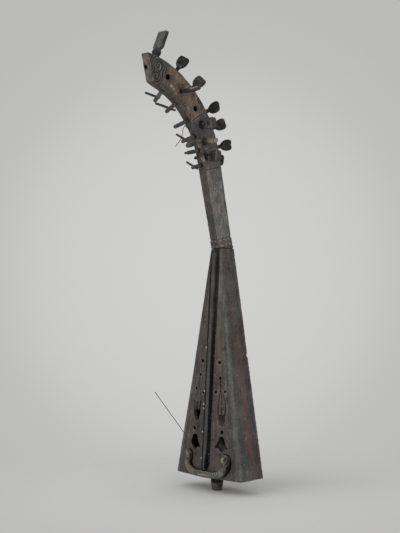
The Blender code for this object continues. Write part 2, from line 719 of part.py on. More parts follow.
def build_neck(material):
    shoulder = BODY_HEIGHT + SEAT_GAP
    rings = [tenon_ring(BODY_HEIGHT - TENON_LENGTH), tenon_ring(shoulder), neck_ring(0.0)]
    rings.append(neck_ring(COLLAR_EASE, COLLAR_PROUD))
    rings.append(neck_ring(COLLAR_HEIGHT - COLLAR_EASE, COLLAR_PROUD))
    count = math.ceil((neck_length() - COLLAR_HEIGHT) / NECK_STEP)
    for i in range(count + 1):
        rings.append(neck_ring(COLLAR_HEIGHT + (neck_length() - COLLAR_HEIGHT) * i / count))
    neck = piece("neck", ring_mesh("neck", rings), material)

    holes = []
    reach = NECK_ARCH_DEPTH / 2 + CUT_MARGIN
    for peg in BACK_PEGS:
        holes.append(peg_hole(back_peg_place(peg), peg.tip_reach, reach))
    reach = NECK_WIDTH / 2 + CUT_MARGIN
    for peg in SIDE_PEGS:
        holes.append(peg_hole(side_peg_place(peg), peg.tip_reach, reach))
    for s, offset in EMPTY_SIDE_HOLES:
        stations = ((-reach, EMPTY_HOLE_RADIUS), (reach, EMPTY_HOLE_RADIUS))
        holes.append(rod_rings(side_place(s, offset), stations, PEG_SIDES))
    cut(neck, "peg_hole_cut", ring_mesh("peg_hole_cut", *holes))

    point, forward, back = neck_frame(neck_length())
    end_normal = forward * math.cos(END_SKEW) - back * math.sin(END_SKEW)
    end_rise = back * math.cos(END_SKEW) + forward * math.sin(END_SKEW)
    across, up = END_HOLE_OFFSETS
    place = framed(point + Vector((across, 0, 0)) + end_rise * up, end_normal, Vector((1, 0, 0)))
    stations = ((-END_HOLE_DEPTH, END_HOLE_RADIUS), (CUT_MARGIN, END_HOLE_RADIUS))
    end_hole = rod_rings(place, stations, PEG_SIDES)
    seat = finial_seat()
    socket = FINIAL_TENON_RADIUS + SEAT_GAP
    recess = FINIAL_STEM_RADIUS + SEAT_GAP
    floor = seat - FINIAL_TENON_LENGTH - SEAT_GAP
    stations = ((floor, socket), (seat, socket), (seat, recess), (seat + CUT_MARGIN, recess))
    finial_hole = rod_rings(finial_place(), stations, PEG_SIDES)
    cut(neck, "head_cut", ring_mesh("head_cut", end_hole, finial_hole))


def build_head_finial(material):
    seat = finial_seat() + SEAT_GAP
    base = seat + FINIAL_RISE - FINIAL_PADDLE
    thick = FINIAL_THICKNESS / 2
    stem = (FINIAL_STEM_RADIUS, FINIAL_COLLAR_RADIUS, FINIAL_COLLAR_RADIUS, FINIAL_THROAT_RADIUS)
    round_rows = [(seat - FINIAL_TENON_LENGTH, FINIAL_TENON_RADIUS), (seat, FINIAL_TENON_RADIUS)]
    round_rows.append((seat, FINIAL_STEM_RADIUS))
    for share, radius in zip(FINIAL_COLLAR_SHARES, stem):
        round_rows.append((seat + share * (base - seat), radius))
    rings = [oval(z, radius, radius, PEG_SIDES) for z, radius in round_rows]
    for outline, width in ((FINIAL_PADDLE_FOOT, FINIAL_BASE_WIDTH), (FINIAL_PADDLE_END, FINIAL_END_WIDTH)):
        for share, wide, deep in outline:
            z = base + share * FINIAL_PADDLE
            rings.append(oval(z, wide * width / 2, deep * thick, PEG_SIDES))
    finial = piece("head_finial", ring_mesh("head_finial", rings), material)
    finial.matrix_world = finial_place()


def head_rows(peg, outline):
    """The flat head's rows (distance along the peg, half width, half thickness) up to the shaft."""
    end = -peg.head_reach - peg.head_length / 2
    rows = [
        (end + share * peg.head_length, wide * HEAD_WIDTH / 2, thick * HEAD_THICKNESS / 2)
        for share, wide, thick in outline
    ]
    neck = end + peg.head_length
    radius = shaft_radius(neck, peg.tip_reach)
    return rows + [(neck, radius, radius)]


def build_peg(name, place, peg, material):
    rows = head_rows(peg, FULL_HEAD_OUTLINE if name in FULL_HEADS else HEAD_OUTLINE)
    for z, eased in ((peg.tip_reach - TIP_CHAMFER, 0.0), (peg.tip_reach, TIP_CHAMFER)):
        radius = shaft_radius(z, peg.tip_reach) - eased
        rows.append((z, radius, radius))
    rings = [oval(z, x, y, PEG_SIDES) for z, x, y in rows]
    made = piece(name, ring_mesh(name, rings), material)
    made.matrix_world = place
    return made


def cut_across(peg, z, turn, radius):
    """Bore a hole through a peg, square to its axis."""
    direction = Vector((math.cos(turn), math.sin(turn), 0))
    place = framed(Vector((0, 0, z)), direction, Vector((0, 0, 1)))
    reach = SHAFT_TIP_RADIUS + CUT_MARGIN
    hole = rod_rings(place, ((-reach, radius), (reach, radius)), STICK_SIDES)
    cut(peg, f"{peg.name}_bore_cut", ring_mesh(f"{peg.name}_bore_cut", hole))


def build_stick(peg, number, z, turn, long_arm, short_arm, material):
    """A stick through a peg's tip, which turns with the peg."""
    direction = Vector((math.cos(turn), math.sin(turn), 0))
    place = framed(Vector((0, 0, z)), direction, Vector((0, 0, 1)))
    stations = ((-short_arm, STICK_END_RADIUS), (-SHAFT_TIP_RADIUS, STICK_RADIUS),
                (SHAFT_TIP_RADIUS, STICK_RADIUS), (long_arm, STICK_END_RADIUS))
    name = f"peg_stick_{number}"
    stick = piece(name, ring_mesh(name, rod_rings(place, stations, STICK_SIDES)), material)
    stick.parent = peg
    cut_across(peg, z, turn, STICK_RADIUS + SEAT_GAP)


def build_back_pegs(material, stick_material):
    sticks = {number: rest for number, *rest in STICKS}
    for peg in BACK_PEGS:
        made = build_peg(f"back_peg_{peg.number}", back_peg_place(peg), peg, material)
        if peg.number in sticks:
            setback, turn, long_arm, short_arm = sticks[peg.number]
            turn = math.radians(turn - peg.spin)
            z = peg.tip_reach - setback
            build_stick(made, peg.number, z, turn, long_arm, short_arm, stick_material)
        else:
            cut_across(made, peg.tip_reach - STRING_HOLE_SETBACK, 0.0, STRING_HOLE_RADIUS)


def build_side_pegs(material, bare_material):
    for peg in SIDE_PEGS:
        finish = material if peg.head_side > 0 else bare_material
        made = build_peg(f"side_peg_{peg.number}", side_peg_place(peg), peg, finish)
        cut_across(made, peg.tip_reach - STRING_HOLE_SETBACK, 0.0, STRING_HOLE_RADIUS)


def smooth_points(route, spacing):
    """Evenly placed points on a smooth curve through a route."""
    knots = [Vector(point) for point in route]
    knots = [2 * knots[0] - knots[1]] + knots + [2 * knots[-1] - knots[-2]]
    fine = []
    for a, b, c, d in zip(knots, knots[1:], knots[2:], knots[3:]):
        for i in range(ROUTE_SPAN_STEPS):
            t = i / ROUTE_SPAN_STEPS
            linear = (c - a) * t + (2 * a - 5 * b + 4 * c - d) * t * t
            fine.append(b + (linear + (3 * b - 3 * c + d - a) * t ** 3) / 2)
    fine.append(knots[-2])
    lengths = [0.0]
    for p, q in zip(fine, fine[1:]):
        lengths.append(lengths[-1] + (q - p).length)
    count = round(lengths[-1] / spacing)
    points = []
    i = 0
    for step in range(count + 1):
        target = lengths[-1] * step / count
        while i < len(fine) - 2 and lengths[i + 1] < target:
            i += 1
        share = (target - lengths[i]) / (lengths[i + 1] - lengths[i])
        points.append(fine[i].lerp(fine[i + 1], share))
    return points


def build_string(name, route, material):
    curve = bpy.data.curves.new(name, "CURVE")
    curve.dimensions = "3D"
    curve.bevel_depth = STRING_DIAMETER / 2
    curve.bevel_resolution = 2
    curve.use_fill_caps = True
    points = smooth_points(route, STRING_POINT_SPACING)
    spline = curve.splines.new("POLY")
    spline.points.add(len(points) - 1)
    for slot, point in zip(spline.points, points):
        slot.co = (*point, 1.0)
    curve.materials.append(material)
    string = bpy.data.objects.new(name, curve)
    bpy.context.scene.collection.objects.link(string)


def build_harp():
    body_wood = wood("body_wood", (0.075, 0.066, 0.058), 0.55)
    rib_wood = wood("rib_wood", (0.035, 0.034, 0.036), 0.4)
    neck_wood = wood("neck_wood", (0.095, 0.078, 0.062), 0.6)
    peg_wood = wood("peg_wood", (0.022, 0.022, 0.022), 0.42)
    bare_wood = wood("bare_wood", (0.14, 0.11, 0.07), 0.65)
    scroll_wood = wood("scroll_wood", (0.13, 0.105, 0.07), 0.5)
    pin_bone = wood("pin_bone", (0.42, 0.38, 0.30), 0.5)
    gut = wood("gut", (0.05, 0.042, 0.035), 0.5)
    build_soundbox(body_wood)
    build_back_board(body_wood, bare_wood)
    build_string_rib(rib_wood)
    build_string_pins(pin_bone)
    build_tail_scroll(scroll_wood)
    build_end_button(rib_wood)
    build_neck(neck_wood)
    build_head_finial(neck_wood)
    build_back_pegs(peg_wood, bare_wood)
    build_side_pegs(peg_wood, bare_wood)
    build_string("string_low", STRING_LOW_ROUTE, gut)
    build_string("string_neck", STRING_NECK_ROUTE, gut)


clear_scene()
build_harp()
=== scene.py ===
"""The looks of the arched harp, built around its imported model.

Lengths are in metres. On the neck, s runs along the middle line and n from that line to the back.
Shades are red, green and blue in thousandths.
"""

import json
import math
from types import SimpleNamespace

import bmesh
import bpy
import numpy as np
from mathutils import Matrix, Vector
from mathutils.bvhtree import BVHTree


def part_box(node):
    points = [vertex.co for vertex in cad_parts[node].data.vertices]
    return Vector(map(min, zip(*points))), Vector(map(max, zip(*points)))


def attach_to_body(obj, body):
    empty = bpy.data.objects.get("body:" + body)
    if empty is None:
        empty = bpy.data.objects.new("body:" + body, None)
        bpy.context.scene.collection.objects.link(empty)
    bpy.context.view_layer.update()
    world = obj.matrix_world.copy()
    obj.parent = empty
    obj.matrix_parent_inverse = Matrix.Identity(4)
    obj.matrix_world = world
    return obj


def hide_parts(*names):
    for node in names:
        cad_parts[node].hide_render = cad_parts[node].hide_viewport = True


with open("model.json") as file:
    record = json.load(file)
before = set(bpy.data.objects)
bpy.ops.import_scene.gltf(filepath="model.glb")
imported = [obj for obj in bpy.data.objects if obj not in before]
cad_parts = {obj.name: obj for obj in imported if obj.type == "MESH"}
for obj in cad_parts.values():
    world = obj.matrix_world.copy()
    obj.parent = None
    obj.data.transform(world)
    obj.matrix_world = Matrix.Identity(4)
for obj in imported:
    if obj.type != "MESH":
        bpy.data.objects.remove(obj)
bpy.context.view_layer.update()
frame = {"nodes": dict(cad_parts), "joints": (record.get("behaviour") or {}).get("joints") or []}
nodes = frame["nodes"]
joints = {joint["name"]: joint for joint in frame["joints"]}
scene = bpy.context.scene

# The stage
CAMERA_LENS = 74.3
CAMERA_SENSOR = 36.0
CAMERA_PLACE = (1.772, -1.846, 0.4834)
CAMERA_TURN = (math.radians(90), 0, math.radians(45))
LAMP_AIM = Vector((0, -0.05, 0.45))
# name: place, power, size
LAMPS = {"key_lamp": ((-0.8, -2.3, 1.9), 25, 2.8), "fill_lamp": ((2.2, -0.8, 1.2), 12, 2.4)}
GLOW = 0.58
# share of the way from the backdrop's rim to its middle, brightness
BACKDROP_STOPS = ((0.4, 0.525), (0.62, 0.575), (0.82, 0.61))
BACKDROP_RIM = (0.495, 0.495, 0.49, 1)
BACKDROP_MIDDLE = (0.625, 0.625, 0.615, 1)
FLOOR_REACH = 1.6
FLOOR_GAP = 0.0004

# Fineness of the meshes that are carved
SOUNDBOX_VOXEL = 0.0011
BOARD_VOXEL = 0.0016
NECK_VOXEL = 0.001

# The soundbox, each pair at its foot and at its top
SEAT_GAP = 0.0003
BODY_HEIGHT = 0.525
BODY_WIDTHS = (0.2065, 0.031)
FRONTS = (0.047, 0.024)
RIDGES = (0.012, 0.001)
BACKS = (0.03, 0.0245)
SIDE_DRAW_IN = 0.03
BOARD_THICKNESS = 0.006

# The rib and its pins
RIB_FOOT = 0.0172
RIB_TOP = 0.517
RIB_WIDTH = 0.015
RIB_PROUD = 0.0105
PIN_X = -0.0125
PIN_RADIUS = 0.0026
PIN_HEIGHTS = (0.0436, 0.1033, 0.157, 0.1667, 0.1966, 0.29, 0.297)
DULL_PIN = 6
# height out of the front, share of the radius
PIN_ROWS = ((0.003, 0.25), (0.0028, 0.62), (0.0023, 0.92), (0.0016, 1.0), (0.001, 0.84), (0.0006, 1.05),
            (0.0001, 1.05), (-0.0003, 0.52), (-0.002, 0.46), (-0.0052, 0.44))
# share of the length, share of the radius
DOWEL_ROWS = ((0.0, 0.8), (0.03, 0.96), (0.06, 1.0), (0.5, 1.0), (0.94, 1.0), (0.975, 0.93), (1.0, 0.55))

# The right half of the scroll: x, z and half width of its middle line
SCROLL_PATH = ((0.0, 0.0092, 0.0077), (0.016, 0.0092, 0.0077), (0.032, 0.01, 0.0081),
               (0.046, 0.0135, 0.0092), (0.0555, 0.021, 0.0108), (0.0595, 0.03, 0.0124),
               (0.06, 0.0385, 0.0137), (0.059, 0.0465, 0.0138), (0.0578, 0.0525, 0.0115),
               (0.0571, 0.0575, 0.007), (0.0568, 0.0605, 0.0015))
SCROLL_PROUD = 0.01
SCROLL_EYE = (0.0575, 0.0465)
SCROLL_COIL_STEP = 0.007
SCROLL_ROPE_STEP = 0.0064
SCROLL_BEAD_STEP = 0.007
SCROLL_CUT = 0.0016

BUTTON_Y = -0.018
BUTTON_RADII = (0.016, 0.0125)
BUTTON_LENGTH = 0.033
# height, depth
BUTTON_GROOVES = ((-0.0065, 0.0006), (-0.0265, 0.0005))
BUTTON_GROOVE_WIDTH = 0.0009
# height, radius
BUTTON_TENON = [(0.016, 0.0068), (0.002, 0.0068), (-SEAT_GAP, 0.0072), (-SEAT_GAP, 0.015)]
BUTTON_TIP = [(-0.0312, 0.0122), (-0.0321, 0.0114), (-0.0327, 0.0102), (-0.033, 0.008), (-0.033, 0.004)]

# The neck
NECK_START = (-0.0028, 0.5253)
NECK_LEAN = math.radians(12.5)
NECK_STRAIGHT = 0.2115
ARCH_RADIUS = 0.238
ARCH_ANGLE = math.radians(62)
ARCH_END = NECK_STRAIGHT + ARCH_RADIUS * ARCH_ANGLE
NECK_LENGTH = ARCH_END + 0.019
NECK_DEPTHS = (0.0437, 0.058)
NECK_BACK_GROWTH = 0.0035

# The finial
FINIAL_SETBACK = 0.0095
FINIAL_LEAN = math.radians(8.5)
FINIAL_SEAT = 0.02935
FINIAL_BASE = FINIAL_SEAT + 0.0232
FINIAL_TOP = FINIAL_SEAT + 0.0679
FINIAL_TENON = 0.019
# height over its seat, its paddle's base or its top, then half width and half thickness
FINIAL_ROWS = (
    (FINIAL_SEAT, ((-FINIAL_TENON, 0.0048, 0.0048), (-0.0006, 0.0048, 0.0048), (0, 0.0082, 0.0082),
                   (0.007, 0.0083, 0.0083), (0.0095, 0.0088, 0.0088), (0.012, 0.0103, 0.0103),
                   (0.0165, 0.0105, 0.0105), (0.0195, 0.0096, 0.0094), (0.0225, 0.0074, 0.0072))),
    (FINIAL_BASE, ((-0.002, 0.0085, 0.0056), (0.001, 0.012, 0.0053), (0.004, 0.0144, 0.0055),
                   (0.02, 0.0143, 0.0053))),
    (FINIAL_TOP, ((-0.004, 0.0145, 0.0053), (-0.0012, 0.0139, 0.0048), (0, 0.0128, 0.0038))))

# The pegs
HEAD_WIDTH = 0.0265
HEAD_THICKNESS = 0.011
# share of the head's length, shares of its width and thickness
HEAD_ROWS = ((0.0, 0.6, 0.46), (0.04, 0.8, 0.74), (0.12, 0.95, 0.94), (0.28, 1.0, 1.0),
             (0.5, 0.98, 0.98), (0.7, 0.86, 0.92), (0.88, 0.6, 0.87))
FULL_HEAD_ROWS = HEAD_ROWS[:4] + ((0.5, 1.0, 1.0), (0.7, 0.94, 0.96), (0.88, 0.78, 0.92))
FULL_HEADS = ("side_peg_4", "side_peg_6")
NOTCHED_HEAD = "back_peg_5"
BARE_PEG = "side_peg_5"
# The peg whose head gets a painted highlight streak, and a fainter painted shadow round it on the neck.
HIGHLIT_PEG = "side_peg_2"
DEEP_NOTCH = 0.003
HEAD_NOTCH = 0.0006
TIP_EASE = 0.0009
SHAFT_TIP_RADIUS = 0.004
SHAFT_TAPER = 0.0075
# name: head reach, tip reach, head length, spin in degrees
PEGS = {
    "back_peg_1": (0.063, 0.0633, 0.034, -45),
    "back_peg_2": (0.063, 0.064, 0.035, -58),
    "back_peg_3": (0.0665, 0.0703, 0.036, 80),
    "back_peg_4": (0.064, 0.067, 0.036, 95),
    "back_peg_5": (0.066, 0.0611, 0.036, 85),
    "back_peg_6": (0.0395, 0.0547, 0.02, 70),
    "side_peg_2": (0.0415, 0.02, 0.048, 21),
    "side_peg_4": (0.034, 0.04, 0.04, 95),
    "side_peg_5": (0.031, 0.0495, 0.028, 50),
    "side_peg_6": (0.039, 0.025, 0.037, 85),
}
# grey of a peg, and of its head's flat faces, in thousandths
PEG_GREYS = {"side_peg_2": 32, "side_peg_4": 50, "side_peg_6": 22}
FACE_GREYS = {"back_peg_1": 36, "back_peg_2": 44, "back_peg_5": 18, "side_peg_4": 75}
# peg number: setback from the tip, turn in degrees, long arm, short arm
STICKS = {
    1: (0.014, 148, 0.0322, 0.006),
    2: (0.015, 154, 0.0405, 0.0155),
    4: (0.012, 146, 0.029, 0.006),
    5: (0.005, 182, 0.014, 0.006),
    6: (0.008, 150, 0.0265, 0.01),
}
STICK_RADIUS = 0.0024
STICK_END_RADIUS = 0.002
STICK_SWELL = 0.0005
STICK_STRAIGHT = 0.004

STRING_DIAMETER = 0.0015
# name: how it lies, its route
STRINGS = {
    "string_low": ("loose", ((-0.0125, -0.0579, 0.0446), (-0.0095, -0.1075, 0.0995),
                             (-0.0047, -0.1603, 0.154), (0.0, -0.213, 0.2085))),
    "string_neck": ("hanging", ((-0.008, -0.111, 0.8045), (-0.012, -0.1152, 0.796), (-0.018, -0.1122, 0.786),
                                (-0.024, -0.1092, 0.776), (-0.028, -0.114, 0.7655),
                                (-0.031, -0.1216, 0.756))),
}

# Carving of the soundbox: lines by x and z, then x, z and radius
ENGRAVED = (
    ((0.0325, 0.226), (0.0334, 0.211), (0.0349, 0.195), (0.0385, 0.185), (0.0388, 0.168)),
    ((0.04, 0.196), (0.0452, 0.183), (0.05, 0.172), (0.0486, 0.165)),
    ((0.0338, 0.202), (0.0302, 0.182), (0.0288, 0.164)),
    ((-0.034, 0.229), (-0.0345, 0.212), (-0.03, 0.192), (-0.0265, 0.174), (-0.0265, 0.163)),
    ((-0.04, 0.204), (-0.044, 0.188), (-0.048, 0.169)),
    ((0.0385, 0.0705), (0.045, 0.061), (0.0515, 0.0705)),
    ((-0.0345, 0.0675), (-0.04, 0.058), (-0.0455, 0.0675)),
)
DISHED = ((0.027, 0.264, 0.0041), (0.0305, 0.2285, 0.0036), (0.02, 0.196, 0.0029), (0.046, 0.199, 0.0029),
          (0.042, 0.107, 0.0043), (-0.027, 0.2645, 0.0041), (-0.0323, 0.233, 0.0036), (-0.02, 0.193, 0.0029),
          (-0.046, 0.2005, 0.0029), (-0.046, 0.108, 0.0043))
ENGRAVED_WIDTH = 0.0034
ENGRAVED_DEPTH = 0.0008
DISH_RIM = 0.0022
DISH_DEPTH = 0.0006
SLIT_X = -RIB_WIDTH / 2 - 0.0014
SLIT_WIDTH = 0.0032
SLIT_DEPTH = 0.0012
# Pale spots on the walls: share of the way back, z, radius
WALL_SPOTS = ((0.42, 0.094, 0.003), (0.31, 0.022, 0.0022), (0.53, 0.02, 0.0022))
REDDISH = (93, 70, 61)
GREENISH = (94, 96, 86)

# Carving of the neck: lines by s and n, then s, n and sizes
INCISED = ((0.3148, -0.023), (0.3132, -0.0051), (0.3116, 0.0113))
TICK = ((0.3266, -0.0126), (0.3185, -0.016))
# s, n, reach and hand of turning
SPIRALS = ((0.47, 0.0136, 0.0112, 1), (0.469, -0.0124, 0.01, -1))
CHIPS = ((0.4182, -0.0104, 0.005), (0.4086, -0.0126, 0.0036), (0.236, -0.012, 0.0018), (0.205, 0.008, 0.0022),
         (0.429, 0.015, 0.0018), (0.381, 0.016, 0.0016))
EMPTY_HOLES = ((0.4356, 0.0018), (0.3307, 0.0027))
# s, n and radius
RING_MARK = (0.3593, -0.0172, 0.0038)
CURLS = ((0.156, 0.0035, 0.004), (0.144, -0.003, 0.0036), (0.086, 0.003, 0.004), (0.056, -0.002, 0.0036))
SPIRAL_STEP = 0.0068
WRAP_STEP = 0.0062
WAVE_LENGTH = 0.052
WAVE_REACH = 0.0085
OVAL_OFFSET = 0.0075
OVAL_HALVES = (0.0085, 0.0052)
BORDER_S = 0.187
NOTCH_STEP = 0.005
# depths of what is carved
COLLAR_DEPTH = 0.0012
SEAM_DEPTH = 0.0008
ORNAMENT_DEPTH = 0.0004
BORDER_DEPTH = 0.0005
LINE_DEPTH = 0.0011
COIL_DEPTH = 0.0013
NOTCH_DEPTH = 0.0008
CHIP_DEPTH = 0.0016
MARK_DEPTH = 0.0007
EDGE_WEAR = 0.0006
# Worn spots on the front edge: s, stretch, size
ARRIS_SPOTS = ((0.212, 1.6, 0.0045), (0.234, 1.2, 0.0028), (0.2475, 1.5, 0.0034), (0.261, 1.0, 0.0026))
# Lumps of the collar: s, the way across, the reach across, the reach along s
LUMPS = ((0.0215, -0.0125, 0.005, 0.0032), (0.0215, 0.001, 0.0042, 0.003), (0.0212, 0.0135, 0.004, 0.0032),
         (0.008, -0.0095, 0.0066, 0.003), (0.0085, 0.004, 0.0042, 0.003), (0.008, 0.016, 0.0046, 0.003))
FRONT_LUMPS = ((0.0215, -0.0055, 0.0044, 0.0028), (0.0212, 0.006, 0.0038, 0.0026),
               (0.008, 0.0068, 0.0038, 0.0032), (0.008, -0.005, 0.0048, 0.0028))


# Numbers
def ramp(low, high, value):
    """0 at low, 1 at high and smooth between them, whichever is the larger."""
    t = np.clip((value - low) / (high - low), 0.0, 1.0)
    return t * t * (3 - 2 * t)


def unit(value):
    return np.clip(value, 0, 1)


def bell(value, width):
    """1 at 0, falling away on both sides over a width."""
    return np.exp(-(value / width) ** 2)


def hashed(i, j, k, seed):
    value = np.sin(i * 127.1 + j * 311.7 + k * 74.7 + seed * 53.9) * 43758.5453
    return value - np.floor(value)


def noise(points, size, seed):
    """Smooth noise from -1 to 1, in cells of a size: one number, or one for each axis."""
    cells = points / np.asarray(size)
    base = np.floor(cells)
    part = cells - base
    part = part * part * (3 - 2 * part)
    total = np.zeros(len(points))
    for corner in np.ndindex(2, 2, 2):
        weight = np.where(corner, part, 1 - part)
        total += weight[:, 0] * weight[:, 1] * weight[:, 2] * hashed(*(base + corner).T, seed)
    return 2 * total - 1


def line_distance(u, v, points):
    """Distance from each (u, v) to a line through points."""
    best = np.full(len(u), 1e9)
    for (au, av), (bu, bv) in zip(points, points[1:]):
        du, dv = bu - au, bv - av
        t = unit(((u - au) * du + (v - av) * dv) / (du * du + dv * dv))
        best = np.minimum(best, np.hypot(u - au - t * du, v - av - t * dv))
    return best


def groove(distance, width):
    """1 on the line, 0 at half the width and beyond."""
    return unit(1 - 2 * distance / width)


def coil_phase(way):
    """0 to 1 and back along each whole step of a way."""
    return np.abs(way % 1 - 0.5) * 2


def circle(sides):
    return np.arange(sides) * 2 * math.pi / sides


# Meshes
def vertex_values(mesh, name):
    values = np.empty(len(mesh.vertices) * 3)
    mesh.vertices.foreach_get(name, values)
    return values.reshape(-1, 3)


def place(mesh, points):
    mesh.vertices.foreach_set("co", np.ascontiguousarray(points, dtype=np.float32).ravel())
    mesh.update()


class Links:
    """The neighbours of a mesh's vertices."""

    def __init__(self, mesh):
        ends = np.empty(len(mesh.edges) * 2, dtype=np.int32)
        mesh.edges.foreach_get("vertices", ends)
        self.a = ends[0::2]
        self.b = ends[1::2]
        self.size = len(mesh.vertices)
        self.count = np.maximum(np.bincount(ends, minlength=self.size), 1)

    def mean(self, values):
        forth = np.bincount(self.a, values[self.b], self.size)
        back = np.bincount(self.b, values[self.a], self.size)
        return (forth + back) / self.count

    def spread(self, values, rounds):
        for _ in range(rounds):
            values = 0.5 * values + 0.5 * self.mean(values)
        return values

    def eased(self, points, rounds):
        return np.stack([self.spread(points[:, axis], rounds) for axis in range(3)], axis=1)


class Coat:
    """A mesh's surface, which can be sunk, and is coloured in layers of shades."""

    def __init__(self, mesh, shade=(0, 0, 0)):
        self.mesh = mesh
        self.links = Links(mesh)
        self.points = vertex_values(mesh, "co")
        self.outward = vertex_values(mesh, "normal")
        self.colour = np.tile(np.divide(shade, 1000), (len(self.points), 1))

    def noise(self, size, seed):
        return noise(self.points, size, seed)

    def sink(self, depth):
        place(self.mesh, self.points - self.outward * depth[:, None])

    def bulge(self, rounds):
        """How far the surface stands out around each vertex, in edge lengths; below 0 in grooves."""
        links, points = self.links, self.points
        around = np.stack([links.mean(points[:, axis]) for axis in range(3)], axis=1)
        span = np.linalg.norm(points[links.a] - points[links.b], axis=1).mean()
        return links.spread(((points - around) * self.outward).sum(axis=1) / span, rounds)

    def edges(self, rounds, gain):
        return unit(self.bulge(rounds) * gain)

    def hollows(self, gain):
        return unit(-self.bulge(2) * gain)

    def lay(self, shade, share):
        """Move the colour towards one shade, or one of each vertex, by a share of each vertex."""
        self.colour = self.colour + (np.divide(shade, 1000) - self.colour) * unit(share)[:, None]

    def layers(self, mask, *rows):
        """Lay shades on a mask, each by a share where a field passes from low to high."""
        for shade, low, high, field, share in rows:
            self.lay(shade, mask * ramp(low, high, field) * share)

    def swap(self, shade, mask):
        """Put a shade, or one of each vertex, in the place of the colour where the mask is true."""
        self.colour = np.where(mask[:, None], np.divide(shade, 1000), self.colour)

    def paint(self, polish):
        tint = self.mesh.attributes.new("tint", "FLOAT_COLOR", "POINT")
        rgba = np.concatenate([np.clip(self.colour, 0.002, 1), np.ones((len(self.colour), 1))], axis=1)
        tint.data.foreach_set("color", rgba.ravel())
        shine = self.mesh.attributes.new("polish", "FLOAT", "POINT")
        shine.data.foreach_set("value", unit(polish))


def fine_mesh(node, voxel, ease):
    """An even, fine mesh on the surface of a CAD node."""
    bm = bmesh.new()
    bm.from_mesh(nodes[node].data)
    bmesh.ops.remove_doubles(bm, verts=bm.verts, dist=1e-6)
    surface = BVHTree.FromBMesh(bm)
    welded = bpy.data.meshes.new(node + "_welded")
    bm.to_mesh(welded)
    bm.free()
    carrier = bpy.data.objects.new(node + "_carrier", welded)
    scene.collection.objects.link(carrier)
    remesh = carrier.modifiers.new("remesh", "REMESH")
    remesh.mode = "VOXEL"
    remesh.voxel_size = voxel * 1.0
    graph = bpy.context.evaluated_depsgraph_get()
    mesh = bpy.data.meshes.new_from_object(carrier.evaluated_get(graph))
    bpy.data.objects.remove(carrier)
    bpy.data.meshes.remove(welded)
    points = np.array([surface.find_nearest(point)[0] for point in vertex_values(mesh, "co")])
    place(mesh, points)
    place(mesh, Links(mesh).eased(points, ease))
    return mesh


def ring(x, y, z):
    """A ring's points, from arrays or from numbers that hold all round."""
    return np.stack(np.broadcast_arrays(x, y, z), axis=1)


def loft(name, rings):
    """A mesh through rings of points, an array (rows, sides, 3), each end closed by a fan."""
    rows, sides = rings.shape[:2]
    points = np.concatenate([rings.reshape(-1, 3), rings[:1].mean(axis=1), rings[-1:].mean(axis=1)])
    side = np.arange(sides)
    ahead = (side + 1) % sides
    faces = []
    for row in range(rows - 1):
        low, high = row * sides, (row + 1) * sides
        faces += np.stack([low + side, low + ahead, high + ahead, high + side], axis=1).tolist()
    first, last, top = rows * sides, rows * sides + 1, (rows - 1) * sides
    faces += [(first, int(j), int(i)) for i, j in zip(side, ahead)]
    faces += [(last, int(top + i), int(top + j)) for i, j in zip(side, ahead)]
    mesh = bpy.data.meshes.new(name)
    mesh.from_pydata(points.tolist(), [], faces)
    bm = bmesh.new()
    bm.from_mesh(mesh)
    bmesh.ops.recalc_face_normals(bm, faces=bm.faces)
    bm.to_mesh(mesh)
    bm.free()
    return mesh


def placed_loft(node, matrix, rings):
    """The loft of a node's look through rings that a matrix moves to their place."""
    local = np.array(rings)
    points = local.reshape(-1, 3) @ np.array(matrix.to_3x3()).T + np.array(matrix.translation)
    return loft(node + "_look", points.reshape(local.shape))


def rounded(angles, half_x, half_y, power):
    """A ring's (x, y) at angles: an oval at power 2, nearer a rectangle above it."""
    c, s = np.cos(angles), np.sin(angles)
    return half_x * np.sign(c) * np.abs(c) ** (2 / power), half_y * np.sign(s) * np.abs(s) ** (2 / power)


def curve_through(rows, column, at):
    """Values of a smooth, unpeaked curve through rows of a place and its values."""
    x = np.array([row[0] for row in rows], dtype=float)
    y = np.array([row[column] for row in rows], dtype=float)
    step = np.diff(x)
    slope = np.diff(y) / step
    before, after = slope[:-1], slope[1:]
    tangent = np.zeros(len(x))
    tangent[1:-1] = np.where(before * after > 0, 2 * before * after / (before + after + 1e-12), 0)
    tangent[0], tangent[-1] = slope[0], slope[-1]
    i = np.clip(np.searchsorted(x, at, side="right") - 1, 0, len(step) - 1)
    t = (at - x[i]) / step[i]
    return ((1 + 2 * t) * (1 - t) ** 2 * y[i] + t * (1 - t) ** 2 * step[i] * tangent[i]
            + t * t * (3 - 2 * t) * y[i + 1] + t * t * (t - 1) * step[i] * tangent[i + 1])


def framed(origin, along, across):
    """The place of a piece whose z runs along and whose x is nearest across."""
    z = Vector(along).normalized()
    x = Vector(across)
    x = (x - z * x.dot(z)).normalized()
    matrix = Matrix((x, z.cross(x), z)).transposed().to_4x4()
    matrix.translation = origin
    return matrix


def attach(node, data, body):
    """Put a piece in the scene in the place of a CAD node."""
    piece = bpy.data.objects.new(node + "_look", data)
    scene.collection.objects.link(piece)
    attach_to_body(piece, body)
    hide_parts(node)
    return piece


def show(node, mesh, material, body="harp"):
    mesh.materials.clear()
    mesh.materials.append(material)
    mesh.polygons.foreach_set("use_smooth", np.ones(len(mesh.polygons), dtype=bool))
    attach(node, mesh, body)


# Materials
def blank_tree(owner):
    """The emptied node tree of a material or world."""
    owner.use_nodes = True
    owner.node_tree.nodes.clear()
    return owner.node_tree


def add(tree, kind, inputs, output=0, **settings):
    """A new shader node's output; inputs are numbers, colours or other outputs."""
    node = tree.nodes.new("ShaderNode" + kind)
    for name, value in settings.items():
        setattr(node, name, value)
    for name, value in inputs.items():
        if isinstance(value, bpy.types.NodeSocket):
            tree.links.new(value, node.inputs[name])
        else:
            node.inputs[name].default_value = value
    return node.outputs[output]


def add_math(tree, operation, a, b):
    return add(tree, "Math", {0: a, 1: b}, operation=operation)


